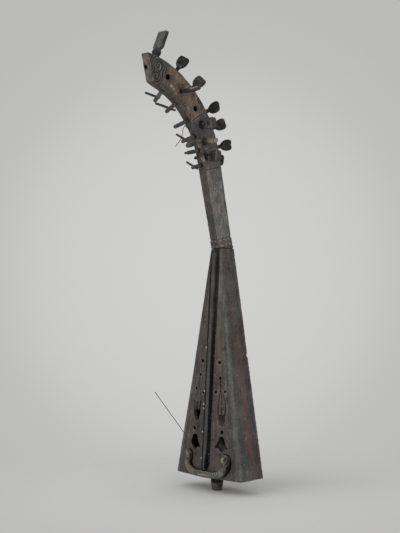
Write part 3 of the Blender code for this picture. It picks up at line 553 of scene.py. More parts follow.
def add_range(tree, value, start, end, **settings):
    """A value mapped from one (low, high) to another."""
    return add(tree, "MapRange", {"Value": value, "From Min": start[0], "From Max": start[1],
                                  "To Min": end[0], "To Max": end[1]}, **settings)


def add_stops(tree, value, first, last, between=()):
    """A colour ramp's output, from stops of a position and a colour."""
    node = tree.nodes.new("ShaderNodeValToRGB")
    tree.links.new(value, node.inputs["Fac"])
    stops = node.color_ramp.elements
    for stop, (position, colour) in zip(stops, (first, last)):
        stop.position = position
        stop.color = colour
    for position, colour in between:
        stops.new(position).color = colour
    return node.outputs["Color"]


def add_output(tree, shader, kind="Material"):
    tree.links.new(shader, tree.nodes.new("ShaderNodeOutput" + kind).inputs["Surface"])


def wood(name, grain, contrast, scratch, roughness, bump, sheen=0.3):
    """Old wood over the tint painted on a mesh: grain, blotches, specks, pale scratches, uneven gloss."""
    material = bpy.data.materials.new(name)
    tree = blank_tree(material)
    where = add(tree, "TexCoord", {}, output="Object")
    along = add(tree, "Mapping", {"Vector": where, "Scale": tuple(1 / size for size in grain)})
    fibre = add(tree, "TexNoise", {"Vector": along, "Scale": 1.0, "Detail": 5.0, "Roughness": 0.62,
                                   "Distortion": 0.5})
    blotch = add(tree, "TexNoise", {"Vector": where, "Scale": 28.0, "Detail": 3.0})
    speck = add(tree, "TexNoise", {"Vector": where, "Scale": 360.0, "Detail": 2.0})
    tint = add(tree, "Attribute", {}, output="Color", attribute_name="tint")
    polish = add(tree, "Attribute", {}, output="Fac", attribute_name="polish")
    light = add_range(tree, fibre, (0.28, 0.72), (1 - contrast, 1 + contrast))
    light = add_math(tree, "MULTIPLY", light, add_range(tree, blotch, (0.3, 0.7), (0.74, 1.26)))
    light = add_math(tree, "MULTIPLY", light, add_range(tree, speck, (0.3, 0.7), (0.72, 1.28)))
    colour = add(tree, "MixRGB", {"Fac": 1.0, "Color1": tint, "Color2": light}, blend_type="MULTIPLY")
    lines = add(tree, "Mapping", {"Vector": where, "Rotation": (0.5, 0.3, 0.9),
                                  "Scale": (900.0, 900.0, 60.0)})
    worn = add(tree, "TexNoise", {"Vector": lines, "Scale": 1.0, "Detail": 2.0})
    worn = add_math(tree, "MULTIPLY", add_range(tree, worn, (0.66, 0.78), (0.0, scratch)), polish)
    colour = add(tree, "MixRGB", {"Fac": worn, "Color1": colour, "Color2": (0.30, 0.27, 0.23, 1)})
    rough = add_range(tree, fibre, (0.3, 0.7), roughness)
    rough = add_math(tree, "SUBTRACT", rough, add_math(tree, "MULTIPLY", polish, 0.20))
    height = add_math(tree, "ADD", fibre, add_math(tree, "MULTIPLY", speck, 0.5))
    normal = add(tree, "Bump", {"Height": height, "Strength": bump, "Distance": 0.0006})
    gloss = add_math(tree, "MULTIPLY", polish, sheen)
    add_output(tree, add(tree, "BsdfPrincipled", {"Base Color": colour, "Roughness": rough, "Normal": normal,
                                                  "Specular IOR Level": gloss}))
    return material


def gut_material():
    """Dark dried gut, paler near the foot of the low string."""
    material = bpy.data.materials.new("gut")
    tree = blank_tree(material)
    where = add(tree, "TexCoord", {}, output="Object")
    twist = add(tree, "TexNoise", {"Vector": where, "Scale": 700.0, "Detail": 3.0, "Distortion": 1.5})
    stain = add(tree, "TexNoise", {"Vector": where, "Scale": 60.0, "Detail": 2.0})
    dark = add_stops(tree, stain, (0.35, (0.010, 0.008, 0.007, 1)), (0.65, (0.035, 0.029, 0.023, 1)))
    height = add(tree, "SeparateXYZ", {0: where}, output="Z")
    foot = add_range(tree, height, (0.115, 0.085), (0.0, 1.0))
    colour = add(tree, "MixRGB", {"Fac": foot, "Color1": dark, "Color2": (0.075, 0.064, 0.057, 1)})
    rough = add_range(tree, twist, (0.0, 1.0), (0.35, 0.6))
    normal = add(tree, "Bump", {"Height": twist, "Strength": 0.4, "Distance": 0.0003})
    shader = add(tree, "BsdfPrincipled", {"Base Color": colour, "Roughness": rough, "Normal": normal})
    add_output(tree, shader)
    return material


# Camera, light and floor
def build_camera():
    data = bpy.data.cameras.new("camera")
    data.lens = CAMERA_LENS
    data.sensor_width = CAMERA_SENSOR
    camera = bpy.data.objects.new("camera", data)
    camera.location = CAMERA_PLACE
    camera.rotation_euler = CAMERA_TURN
    scene.collection.objects.link(camera)
    scene.camera = camera


def build_lamps():
    for name, (location, power, size) in LAMPS.items():
        data = bpy.data.lights.new(name, "AREA")
        data.energy = power
        data.shape = "DISK"
        data.size = size
        lamp = bpy.data.objects.new(name, data)
        lamp.location = location
        lamp.rotation_euler = (LAMP_AIM - Vector(location)).to_track_quat("-Z", "Y").to_euler()
        scene.collection.objects.link(lamp)


def build_world():
    """An even glow on the object, and a pale backdrop where it is seen."""
    scene.world = bpy.data.worlds.new("studio")
    tree = blank_tree(scene.world)
    rays = tree.nodes.new("ShaderNodeLightPath")
    seen = add_math(tree, "MAXIMUM", rays.outputs["Is Camera Ray"], rays.outputs["Is Glossy Ray"])
    seen = add_math(tree, "MAXIMUM", seen, rays.outputs["Is Transmission Ray"])
    where = add(tree, "TexCoord", {}, output="Generated")
    facing = add(tree, "VectorMath", {0: where, 1: (-0.7071, 0.7071, 0.0)}, output="Value",
                 operation="DOT_PRODUCT")
    middle = add_range(tree, facing, (0.97, 1.0), (0.0, 1.0))
    between = [(position, (level, level, level * 0.985, 1)) for position, level in BACKDROP_STOPS]
    pale = add_stops(tree, middle, (0.0, BACKDROP_RIM), (1.0, BACKDROP_MIDDLE), between)
    backdrop = add(tree, "Background", {"Color": pale, "Strength": 1.0})
    glow = add(tree, "Background", {"Color": (1.0, 1.0, 1.0, 1), "Strength": GLOW})
    add_output(tree, add(tree, "MixShader", {0: seen, 1: glow, 2: backdrop}), "World")


def build_floor():
    """A pale disc that thins out to nothing, so no horizon shows."""
    sides, rows = 96, 24
    angles = circle(sides)
    points = [(0.0, 0.0, 0.0)]
    for row in range(1, rows + 1):
        radius = FLOOR_REACH * row / rows
        points += [(radius * math.cos(a), radius * math.sin(a), 0.0) for a in angles]
    faces = [(0, 1 + i, 1 + (i + 1) % sides) for i in range(sides)]
    for row in range(rows - 1):
        low, high = 1 + row * sides, 1 + (row + 1) * sides
        faces += [(low + i, high + i, high + (i + 1) % sides, low + (i + 1) % sides) for i in range(sides)]
    mesh = bpy.data.meshes.new("floor")
    mesh.from_pydata(points, [], faces)
    floor = bpy.data.objects.new("floor", mesh)
    floor.location = (0, 0, -BUTTON_LENGTH - FLOOR_GAP)
    scene.collection.objects.link(floor)
    material = bpy.data.materials.new("floor")
    tree = blank_tree(material)
    where = add(tree, "TexCoord", {}, output="Object")
    far = add(tree, "VectorMath", {0: where}, output="Value", operation="LENGTH")
    fade = add_range(tree, far, (0.1, 0.75), (0.0, 1.0), interpolation_type="SMOOTHSTEP")
    pale = add(tree, "BsdfDiffuse", {"Color": (0.70, 0.70, 0.69, 1)})
    clear = add(tree, "BsdfTransparent", {"Color": (1, 1, 1, 1)})
    add_output(tree, add(tree, "MixShader", {0: fade, 1: pale, 2: clear}))
    mesh.materials.append(material)


# The strings
def smooth_points(route, spacing):
    """Points at even steps along a smooth curve through a route, and the curve's length."""
    knots = [Vector(point) for point in route]
    knots = [2 * knots[0] - knots[1]] + knots + [2 * knots[-1] - knots[-2]]
    steps = 40
    fine = []
    for a, b, c, d in zip(knots, knots[1:], knots[2:], knots[3:]):
        for i in range(steps):
            t = i / steps
            linear = (c - a) * t + (2 * a - 5 * b + 4 * c - d) * t * t
            fine.append(b + (linear + (3 * b - 3 * c + d - a) * t ** 3) / 2)
    fine.append(knots[-2])
    points = np.array(fine)
    run = np.concatenate([[0], np.cumsum(np.linalg.norm(np.diff(points, axis=0), axis=1))])
    at = np.linspace(0, run[-1], round(run[-1] / spacing) + 1)
    return np.stack([np.interp(at, run, points[:, axis]) for axis in range(3)], axis=1), run[-1]


def build_strings():
    gut = gut_material()
    for name, (lay, route) in STRINGS.items():
        points, length = smooth_points(route, 1.5 * STRING_DIAMETER)
        curve = bpy.data.curves.new(name + "_look", "CURVE")
        curve.dimensions = "3D"
        curve.bevel_depth = STRING_DIAMETER / 2
        curve.bevel_resolution = 4
        curve.use_fill_caps = True
        spline = curve.splines.new("POLY")
        spline.points.add(len(points) - 1)
        for slot, point in zip(spline.points, points):
            slot.co = (*point, 1.0)
        curve.materials.append(gut)
        string = attach(name, curve, "harp")


# The body
def blend(ends, z):
    """A size of the soundbox at a height, from its values at the foot and the top."""
    return ends[0] + (ends[1] - ends[0]) * z / BODY_HEIGHT


def half_width(z):
    return blend(BODY_WIDTHS, z) / 2


def front_edge(z):
    return -blend(FRONTS, z)


def front_face(x, z):
    edge = front_edge(z)
    ridge = edge - blend(RIDGES, z)
    return ridge + (edge - ridge) * np.minimum(np.abs(x) / half_width(z), 1.0)


def side_wall(y, z):
    return half_width(z) - SIDE_DRAW_IN * (y - front_edge(z))


def outside_of_body(coat):
    """1 on the outside of the soundbox, 0 in its chamber."""
    x, y, z = coat.points.T
    within = (y > front_face(x, z) + 0.0045) & (np.abs(x) < side_wall(y, z) - 0.0045)
    within &= (z > 0.006) & (z < BODY_HEIGHT - 0.004)
    seat = blend(BACKS, z) - BOARD_THICKNESS
    return np.where(within & (y < seat + 0.001), 0.0, 1.0)


def carve_soundbox(coat):
    """Engraving, hand-worked unevenness and worn edges; gives the edges and the cuts."""
    x, y, z = coat.points.T
    front = ramp(0.35, 0.7, -coat.outward[:, 1]) * (y < front_face(x, z) + 0.004)
    lines = np.zeros(len(x))
    for line in ENGRAVED:
        lines = np.maximum(lines, groove(line_distance(x, z, line), ENGRAVED_WIDTH) * front)
    depth = ENGRAVED_DEPTH * lines
    for dot_x, dot_z, radius in DISHED:
        far = np.hypot(x - dot_x, z - dot_z)
        depth += DISH_DEPTH * unit(1 - (far - radius) / DISH_RIM) * front * (far > radius * 0.8)
    slit = groove(np.abs(x - SLIT_X), SLIT_WIDTH) * front
    slit *= ramp(0.02, 0.03, z) * ramp(0.36, 0.3, z)
    depth += SLIT_DEPTH * slit
    edge = coat.edges(3, 14)
    rough = unit(coat.noise(0.009, 3) * 0.8 + coat.noise(0.0035, 4) * 0.5)
    outside = outside_of_body(coat)
    depth += outside * (edge * rough * 0.0007)
    depth += outside * 0.00022 * (1 + coat.noise((0.012, 0.012, 0.05), 5))
    depth += outside * 0.0001 * (1 + coat.noise((0.003, 0.003, 0.045), 6))
    coat.sink(depth)
    return edge, np.maximum(slit, lines)


def tint_front(coat, front, share, slow, stripe, thread):
    """Reddish and greenish stripes, darker to the top and the left, with a pale streak beside the rib."""
    x, _, z = coat.points.T
    left = front * (x < 0)
    coat.lay(REDDISH, front * ramp(-0.1, 0.6, stripe) * ramp(0.75, 0.25, np.abs(share)))
    coat.lay(GREENISH, front * ramp(-0.2, 0.5, -stripe) * ramp(0.25, 0.75, share) * 0.9)
    coat.layers(left, (REDDISH, 0.1, 0.7, coat.noise((0.02, 0.02, 0.05), 16), 0.7))
    coat.layers(front, ((40, 37, 35), 0.35, 0.9, slow, 0.5))
    coat.lay((82, 63, 53), front * ramp(0.1, 0.03, z) * ramp(0.008, 0.018, x) * ramp(0.052, 0.035, x) * 0.8)
    coat.layers(front, ((44, 40, 38), 0.4, 0.5, z, 0.8))
    coat.layers(left, ((58, 49, 44), 0.16, 0.08, z, 0.45))
    coat.lay((140, 128, 118), front * bell(x - 0.0205, 0.006) * ramp(0.26, 0.38, z) * (0.8 + 0.3 * thread))
    coat.layers(front, ((132, 122, 110), 0.3, 0.85, thread, 0.45), ((36, 32, 30), 0.3, 0.85, -thread, 0.45))


def tint_wall(coat, wall, share, across, patch, fine, stripe, thread):
    """Grey-green stripes, a painted highlight along the rounded front edge, a ragged red band and a dark
    back; gives the painted highlight.
    """
    z = coat.points[:, 2]
    coat.lay((80, 76, 70), wall * 0.8)
    coat.lay(GREENISH, wall * ramp(-0.3, 0.4, stripe) * ramp(0.4, 0.3, across))
    # Painted highlight along the wall's rounded front edge, which also gets more polish.
    rim = bell(across, 0.05) * ramp(0.85, 0.95, np.abs(share)) * (0.6 + 0.4 * thread) * ramp(0.44, 0.34, z)
    coat.lay((120, 120, 108), rim * 0.8)
    ragged = 0.02 * patch + 0.014 * fine
    width = 0.63 - 0.12 * ramp(0.28, 0.42, z)
    start = 0.32 - 0.1 * ramp(0.2, 0.34, z)
    band = ramp(start, start + 0.03, across + ragged * 0.5)
    band *= ramp(width + 0.03, width - 0.03, across + ragged)
    band *= wall * ramp(0.02, 0.05, z + 0.4 * ragged) * (1 - 0.75 * ramp(0.36, 0.43, z))
    red = (118, 62, 53) + np.outer(ramp(0.2, 0.31, z), (-16, 14, 14))
    coat.lay(red, band * unit(0.8 + 0.3 * stripe + 0.3 * thread))
    coat.layers(band, ((92, 78, 72), 0.45, 0.85, thread, 0.7))
    coat.layers(wall, ((58, 54, 52), 0.66, 0.74, across + ragged, 0.8),
                ((28, 27, 28), 0.84, 0.95, across + ragged, 1))
    return rim


def tint_wear(coat, front, wall, across, patch, fine, edge, lines):
    """Painted shadow beside the rib, worn edges, rims of the dished fields, darker cuts and hollows, dirt and
    specks; gives the painted shadow.
    """
    x, _, z = coat.points.T
    # The rib's shadow: a near-black band painted on the front to the right of the rib.
    beside = x - RIB_WIDTH / 2 - 0.003 * ramp(0.26, 0.42, z)
    rib_shadow = front * ramp(0.0054, 0.004, beside + 0.0006 * patch) * (x > 0)
    rib_shadow *= ramp(0.02, 0.03, z) * (0.94 - 0.15 * ramp(0.3, 0.4, z))
    coat.lay((9, 8, 8), rib_shadow)
    coat.lay((175, 158, 135), np.clip(edge * (0.2 + 0.6 * fine), 0, 0.6))
    for dot_x, dot_z, radius in DISHED:
        halo = bell(np.hypot(x - dot_x, z - dot_z) - radius - 0.0012, 0.0012)
        coat.lay((150, 138, 120), halo * front * 0.55)
    coat.lay((10, 9, 8), np.clip(coat.hollows(16) + lines * 0.8, 0, 0.92))
    coat.lay((16, 14, 12), 0.75 * ramp(0.3, 0.85, fine) * ramp(-0.2, 0.6, patch))
    coat.layers(1, ((200, 185, 160), 0.62, 0.9, coat.noise(0.003, 17), 0.7))
    for spot_across, spot_z, size in WALL_SPOTS:
        far = np.hypot((across - spot_across) * 0.075, z - spot_z)
        coat.layers(wall, ((200, 175, 145), size, 0.4 * size, far, 0.8))
    return rib_shadow


def tint_chamber(coat):
    """Painted light and shade on the wood within the chamber and the sound holes: a pool of light on the
    right, dimmer patches low on the right and on the left, near-black elsewhere; gives 1 on the rest.
    """
    x, y, z = coat.points.T
    inside = (y > front_face(x, z) + 0.0012) & (np.abs(x) < side_wall(y, z) - 0.004) & (z > 0.01) & (z < 0.5)
    outside = outside_of_body(coat)
    inner_light_and_shade = np.tile((14, 12, 11), (len(x), 1))
    inner_light_and_shade[(x > 0) & (z > 0.116) & (z < 0.17)] = (130, 98, 80)
    inner_light_and_shade[(x > 0) & (z < 0.1)] = (34, 26, 22)
    inner_light_and_shade[(x < 0) & (z > 0.118) & (z < 0.18)] = (70, 50, 38)
    coat.swap(inner_light_and_shade, (inside & (coat.outward[:, 1] > -0.6)) | (outside < 0.5))
    return outside * (1 - inside)


def build_soundbox(material):
    mesh = fine_mesh("soundbox", SOUNDBOX_VOXEL, 1)
    edge, lines = carve_soundbox(Coat(mesh))
    coat = Coat(mesh, (76, 66, 59))
    x, y, z = coat.points.T
    share = x / half_width(z)
    across = (y - front_edge(z)) / (blend(BACKS, z) - front_edge(z))
    slow, patch, fine = coat.noise(0.06, 11), coat.noise(0.018, 12), coat.noise(0.004, 13)
    ways = np.stack([share * 0.09, across * 0.07, z], axis=1)
    stripe, thread = noise(ways, (0.009, 0.009, 0.22), 14), noise(ways, (0.0035, 0.0035, 0.09), 15)
    front = ramp(0.3, 0.7, -coat.outward[:, 1])
    wall = ramp(0.55, 0.85, np.abs(coat.outward[:, 0]))
    tint_front(coat, front, share, slow, stripe, thread)
    rim = tint_wall(coat, wall, share, across, patch, fine, stripe, thread)
    rib_shadow = tint_wear(coat, front, wall, across, patch, fine, edge, lines)
    shown = tint_chamber(coat)
    coat.paint(unit(0.55 + 0.4 * slow + 0.3 * rim - 0.5 * rib_shadow) * shown)
    show("soundbox", mesh, material)


def build_back_board(material):
    mesh = fine_mesh("back_board", BOARD_VOXEL, 1)
    coat = Coat(mesh, (60, 51, 45))
    x, y, z = coat.points.T
    edge = coat.edges(2, 14)
    worn = edge * unit(coat.noise(0.008, 21)) * 0.0007
    coat.sink(worn + 0.00012 * (1 + coat.noise((0.003, 0.01, 0.06), 22)))
    slow, streak = coat.noise(0.05, 23), coat.noise((0.005, 0.005, 0.07), 24)
    coat.layers(1, ((95, 75, 58), -0.1, 0.8, streak, 0.8), ((30, 28, 28), 0, 0.9, slow, 0.6))
    coat.lay((150, 130, 110), edge * 0.5)
    # Painted light on the board's inner face, seen through the sound holes.
    inner_light_and_shade = ramp(0.5, 0.8, -coat.outward[:, 1]) * (np.abs(x) < side_wall(y, z) - 0.013)
    coat.lay((620, 470, 370), inner_light_and_shade * (0.85 + 0.15 * streak))
    # A band of painted shade low on the inner face: dim brown at its left end, near-black from there on.
    shaded_band = inner_light_and_shade * (ramp(0.056, 0.076, z) * ramp(0.1, 0.09, z))
    coat.lay((150, 113, 97), shaded_band)
    coat.layers(shaded_band, ((20, 15, 13), -0.026, -0.018, x, 1))
    coat.paint((0.3 + 0.2 * slow) * (1 - inner_light_and_shade))
    show("back_board", mesh, material)


def build_dowels(material):
    angles = circle(20)
    for number in range(1, 7):
        node = f"back_board_dowel_{number}"
        low, high = (np.array(corner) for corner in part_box(node))
        middle, size = (low + high) / 2, high - low
        wobble = size[0] / 2 * (1 - 0.05 * np.abs(np.sin(2.5 * angles + number)))
        rings = []
        for along, wide in DOWEL_ROWS:
            radius = wide * wobble
            rings.append(ring(middle[0] + radius * np.cos(angles), low[1] + along * size[1],
                              middle[2] + radius * np.sin(angles)))
        coat = Coat(loft(node + "_look", np.array(rings)), (90, 70, 50))
        spots = coat.noise(0.0012, 25 + number)
        coat.layers(1, ((30, 25, 20), -0.2, 0.8, spots, 1))
        coat.paint(np.full(len(spots), 0.2))
        show(node, coat.mesh, material)


def rib_mesh():
    angles = np.linspace(0, math.pi, 24)
    rings = []
    for z in np.linspace(RIB_FOOT, RIB_TOP, 240):
        end = max(1 - min(z - RIB_FOOT, RIB_TOP - z) / 0.007, 0)
        wide = RIB_WIDTH / 2 * (1 - 0.18 * end ** 3)
        x = wide * np.cos(angles)
        y = front_face(wide, z) - SEAT_GAP - RIB_PROUD * (1 - 0.45 * end ** 2) * np.sin(angles) ** 0.85
        y = np.minimum(y, front_face(x, z) - SEAT_GAP)
        foot_x = np.array((-wide, wide)) / 2
        rings.append(ring(np.append(x, foot_x), np.append(y, front_face(foot_x, z) - SEAT_GAP), z))
    return loft("string_rib_look", np.array(rings))


def build_string_rib(material):
    """The rounded rod down the front: grey right of its crown, black left of it, and painted shade,
    near-black, on its right flank.
    """
    coat = Coat(rib_mesh(), (62, 59, 56))
    z = coat.points[:, 2]
    outward_x, outward_y = coat.outward[:, 0], coat.outward[:, 1]
    dents = ramp(0.2, 0.8, -outward_y) * ramp(0.35, 0.9, coat.noise((0.008, 0.008, 0.014), 32))
    depth = 0.00022 * (1 + coat.noise((0.004, 0.004, 0.03), 31)) + 0.0005 * dents
    for height in PIN_HEIGHTS:
        depth += 0.0007 * bell(z - height, 0.0022) * ramp(0.1, 0.7, -outward_x)
    coat.sink(depth)
    fine, patch = coat.noise((0.003, 0.003, 0.012), 33), coat.noise((0.012, 0.012, 0.04), 34)
    ragged = coat.noise((0.02, 0.02, 0.005), 35)
    # Painted shade: the right flank, turned from the light, is painted near-black and less polished.
    flank = ramp(0.86, 1.0, outward_x + 0.3 * ramp(0.075, 0.03, z))
    brink = ramp(0.34, 0.12, outward_x + 0.14 * ragged)
    coat.layers(1, ((68, 67, 63), 0.34, 0.27, z, 1))
    coat.layers(ramp(0.1, 0.25, z), ((68, 58, 48), 0, 0.8, patch, 0.7))
    coat.layers(1, ((120, 110, 94), 0.45, 0.95, fine, 0.6), ((18, 16, 15), 0.45, 0.95, -fine, 0.6))
    coat.lay((10, 9, 8), brink * unit(0.85 + 0.3 * ragged))
    coat.lay((6, 6, 6), flank * (0.95 - 0.75 * ramp(0.29, 0.4, z)))
    coat.paint((0.6 + 0.3 * patch) * (1 - 0.85 * flank) * (1 - brink))
    show("string_rib", coat.mesh, material)


def build_string_pins(material):
    """Pale pins, each with a rest of knotted string round its neck."""
    angles = circle(18)
    for number, height in enumerate(PIN_HEIGHTS, 1):
        node = f"string_pin_{number}"
        rings = []
        for out, wide in PIN_ROWS:
            lump = 1 + 0.14 * np.sin(3 * angles + 1.7 * number + 900 * out) * (out > 0)
            radius = PIN_RADIUS * wide * lump
            rings.append(ring(PIN_X + radius * np.cos(angles), front_face(PIN_X, height) - out,
                              height + radius * np.sin(angles)))
        shade = (190, 170, 140) if number == DULL_PIN else (520, 480, 420)
        coat = Coat(loft(node + "_look", np.array(rings)), shade)
        spots = coat.noise(0.0012, 40 + number)
        coat.layers(1, ((60, 45, 35), 0.1, 0.8, spots, 0.8))
        coat.paint(0.4 + 0.2 * spots)
        show(node, coat.mesh, material)


# The scroll and button
def scroll_relief(x, z):
    """The cuts, the eyes and the rope over the scroll's front."""
    out = np.abs(x)
    eye_x, eye_z = SCROLL_EYE
    far = np.hypot(out - eye_x, z - eye_z)
    turn = np.arctan2(z - eye_z, out - eye_x) / (2 * math.pi)
    coil = ramp(0.5, 0.95, coil_phase(far / SCROLL_COIL_STEP - turn))
    coil *= ramp(0.024, 0.034, z) * ramp(0.0028, 0.0042, far)
    eye = ramp(0.0058, 0.0046, far) * ramp(0.0014, 0.0028, far) * ramp(0.0595, 0.0575, out)
    roped = ramp(0.014, 0.018, out) * ramp(0.054, 0.046, out) * ramp(0.026, 0.019, z)
    twist = (1 - np.abs(np.sin(math.pi * (out + 0.9 * z) / SCROLL_ROPE_STEP))) ** 1.2 * roped
    middle = ramp(0.018, 0.014, out)
    bead = np.hypot((x + 0.0004) % SCROLL_BEAD_STEP - SCROLL_BEAD_STEP / 2, z - 0.0075) / 0.003
    beads = middle * ramp(0.8, 1.3, bead) * ramp(3.0, 2.2, bead)
    return np.maximum.reduce([coil * 0.6, twist, beads * 0.7]), eye, roped + middle


def tint_scroll(coat, cut, eye, rope):
    """Golden crumbs over grey wood, a painted highlight on the rope and middle bar, dark cuts, a yellow eye,
    and painted shade on the relief's walls and right flanks; gives the polish.
    """
    x, _, z = coat.points.T
    fine, patch, crumb = coat.noise(0.0022, 52), coat.noise(0.012, 53), coat.noise(0.0038, 55)
    top = ramp(0.35, 0.9, -coat.outward[:, 1])
    coat.lay((84, 77, 63), top * (0.7 + 0.3 * patch))
    coat.layers(top, ((90, 68, 46), 0.1, 0.7, coat.noise(0.009, 54), 0.7),
                ((240, 220, 170), 0.4, 0.9, fine, 0.55), ((200, 186, 155), 0.026, 0.018, z, 0.8),
                ((250, 232, 190), 0.1, 0.65, crumb, 0.5), ((22, 19, 16), 0.25, 0.8, -crumb, 0.55))
    # Painted highlight on the raised rope and middle bar, away from the cuts.
    coat.lay((340, 315, 255), unit(rope - cut * 1.5) * top * unit(0.45 + 0.6 * fine))
    coat.lay((20, 17, 13), unit(cut * 1.1) * 0.8)
    coat.lay((430, 390, 230), eye * top * np.where(x > 0, 0.9, 0.2))
    # Painted shade on the relief's walls.
    coat.layers(1, ((14, 12, 10), 0.5, 0.1, -coat.outward[:, 1], 0.75))
    # Painted shade on the right flanks, which face away from the light.
    shade = ramp(0.25, 0.65, coat.outward[:, 0]) * ramp(0.006, 0.014, z) * ramp(0.056, 0.046, z)
    coat.lay((8, 7, 6), shade * 0.9)
    return 0.5 + 0.4 * patch - shade


def build_tail_scroll(material):
    """Two filled volutes joined by a roped bar: coils and eyes cut in relief."""
    arm, _ = smooth_points(SCROLL_PATH, 0.0009)
    path = np.concatenate([arm[:0:-1] * (-1, 1, 1), arm])
    run = np.gradient(path[:, :2], axis=0)
    run /= np.linalg.norm(run, axis=1)[:, None]
    angles = np.linspace(0, math.pi, 56)
    half = path[:, 2:]
    x = path[:, :1] - run[:, 1:] * half * np.cos(angles)
    z = path[:, 1:2] + run[:, :1] * half * np.cos(angles)
    relief = scroll_relief(x, z)
    full = np.minimum(half / 0.006, 1)
    rim = np.abs(np.cos(angles)) < 0.97
    proud = SCROLL_PROUD * (0.25 + 0.75 * np.sin(angles) ** 0.9)
    lift = SEAT_GAP + full * (proud - SCROLL_CUT * relief[0] * rim)
    arc = np.stack([x, front_face(x, z) - lift, z], axis=2)
    foot_x, foot_z = x[:, [-1, 0]], z[:, [-1, 0]]
    feet = np.stack([foot_x, front_face(foot_x, foot_z) - SEAT_GAP, foot_z], axis=2)
    coat = Coat(loft("tail_scroll_look", np.concatenate([arc, feet], axis=1)), (58, 52, 45))
    coat.sink(0.00014 * (1 + coat.noise(0.004, 51)))
    spread = [np.append(np.concatenate([field, field[:, [-1, 0]]], axis=1).ravel(), [0, 0])
              for field in relief]
    coat.paint(tint_scroll(coat, *spread))
    show("tail_scroll", coat.mesh, material)


def build_end_button(material):
    flank = [(-BUTTON_LENGTH * share, BUTTON_RADII[0] + (BUTTON_RADII[1] - BUTTON_RADII[0]) * share)
             for share in np.linspace(0.02, 0.9, 40)]
    angles = circle(56)
    rings = []
    for z, radius in BUTTON_TENON + flank + BUTTON_TIP:
        cut = sum(depth * bell(z - height, BUTTON_GROOVE_WIDTH) for height, depth in BUTTON_GROOVES)
        wide = (radius - cut) * (1 - 0.012 * np.abs(np.sin(4 * angles)) * (z < -0.001))
        rings.append(ring(wide * np.cos(angles), BUTTON_Y + wide * np.sin(angles), z))
    coat = Coat(loft("end_button_look", np.array(rings)), (90, 76, 68))
    z = coat.points[:, 2]
    coat.sink((z < -0.001) * 0.00018 * (1 + coat.noise(0.005, 61)))
    fine, patch = coat.noise(0.003, 62), coat.noise(0.01, 63)
    coat.layers(1, ((150, 128, 112), 0.1, 0.9, patch, 0.7), ((15, 14, 13), -0.017, -0.012, z, 1),
                ((20, 17, 15), 0.3, 0.9, fine, 0.6))
    coat.lay((160, 140, 118), bell(z + 0.0305, 0.0012) * 0.6)
    coat.paint(0.4 + 0.3 * patch)
    show("end_button", coat.mesh, material)


# The neck
def neck_frame(s):
    """The middle line's point, its forward direction and the direction to the neck's back."""
    angle = NECK_LEAN + min(max(s - NECK_STRAIGHT, 0.0) / ARCH_RADIUS, ARCH_ANGLE)
    start = Vector((0, *NECK_START))
    lean = Vector((0, -math.sin(NECK_LEAN), math.cos(NECK_LEAN)))
    forward = Vector((0, -math.sin(angle), math.cos(angle)))
    back = Vector((0, math.cos(angle), math.sin(angle)))
    lean_back = Vector((0, math.cos(NECK_LEAN), math.sin(NECK_LEAN)))
    point = start + lean * min(s, NECK_STRAIGHT) + (back - lean_back) * ARCH_RADIUS
    point += forward * max(s - ARCH_END, 0.0)
    return point, forward, back


def neck_places(points):
    """For each point, its way along the neck's middle line and its way to the back of it."""
    y, z = points[:, 1] - NECK_START[0], points[:, 2] - NECK_START[1]
    sin, cos = math.sin(NECK_LEAN), math.cos(NECK_LEAN)
    s = -sin * y + cos * z
    n = cos * y + sin * z
    far_y = y + sin * NECK_STRAIGHT + ARCH_RADIUS * cos
    far_z = z - cos * NECK_STRAIGHT + ARCH_RADIUS * sin
    angle = np.arctan2(far_z, far_y)
    arch = s > NECK_STRAIGHT
    s = np.where(arch, NECK_STRAIGHT + ARCH_RADIUS * (angle - NECK_LEAN), s)
    n = np.where(arch, np.hypot(far_y, far_z) - ARCH_RADIUS, n)
    last = NECK_LEAN + ARCH_ANGLE
    end_y = far_y - ARCH_RADIUS * math.cos(last)
    end_z = far_z - ARCH_RADIUS * math.sin(last)
    head = arch & (angle > last)
    s = np.where(head, ARCH_END - end_y * math.sin(last) + end_z * math.cos(last), s)
    n = np.where(head, end_y * math.cos(last) + end_z * math.sin(last), n)
    return s, n


def half_depth(s):
    return (NECK_DEPTHS[0] + (NECK_DEPTHS[1] - NECK_DEPTHS[0]) * np.minimum(s, ARCH_END) / ARCH_END) / 2


def lumps_at(u, v, table):
    best = np.zeros(len(u))
    for at_u, at_v, reach_v, reach_u in table:
        best = np.maximum(best, ramp(1.25, 0.55, np.hypot((u - at_u) / reach_u, (v - at_v) / reach_v)))
    return best


def straight_relief(coat, s, n, side):
    """Shallow ovals between winding lines on the straight part."""
    run = ramp(0.034, 0.045, s) * ramp(0.212, 0.2, s) * side
    wave = WAVE_REACH * np.sin(2 * math.pi * s / WAVE_LENGTH)
    step = WAVE_LENGTH / 2
    oval_s = (np.round(s / step - 0.5) + 0.5) * step
    oval_n = -OVAL_OFFSET * np.sin(2 * math.pi * oval_s / WAVE_LENGTH)
    half_s, half_n = OVAL_HALVES
    oval = np.hypot((s - oval_s) / half_s, (n - oval_n) / half_n)
    marks = np.maximum.reduce([groove(np.abs(n - wave), 0.003), groove(np.abs(oval - 1) * half_n, 0.0028),
                               groove(np.abs(oval - 0.45) * half_n, 0.002)])
    return unit(run * (0.45 + 0.4 * coat.noise(0.02, 70)) * marks)


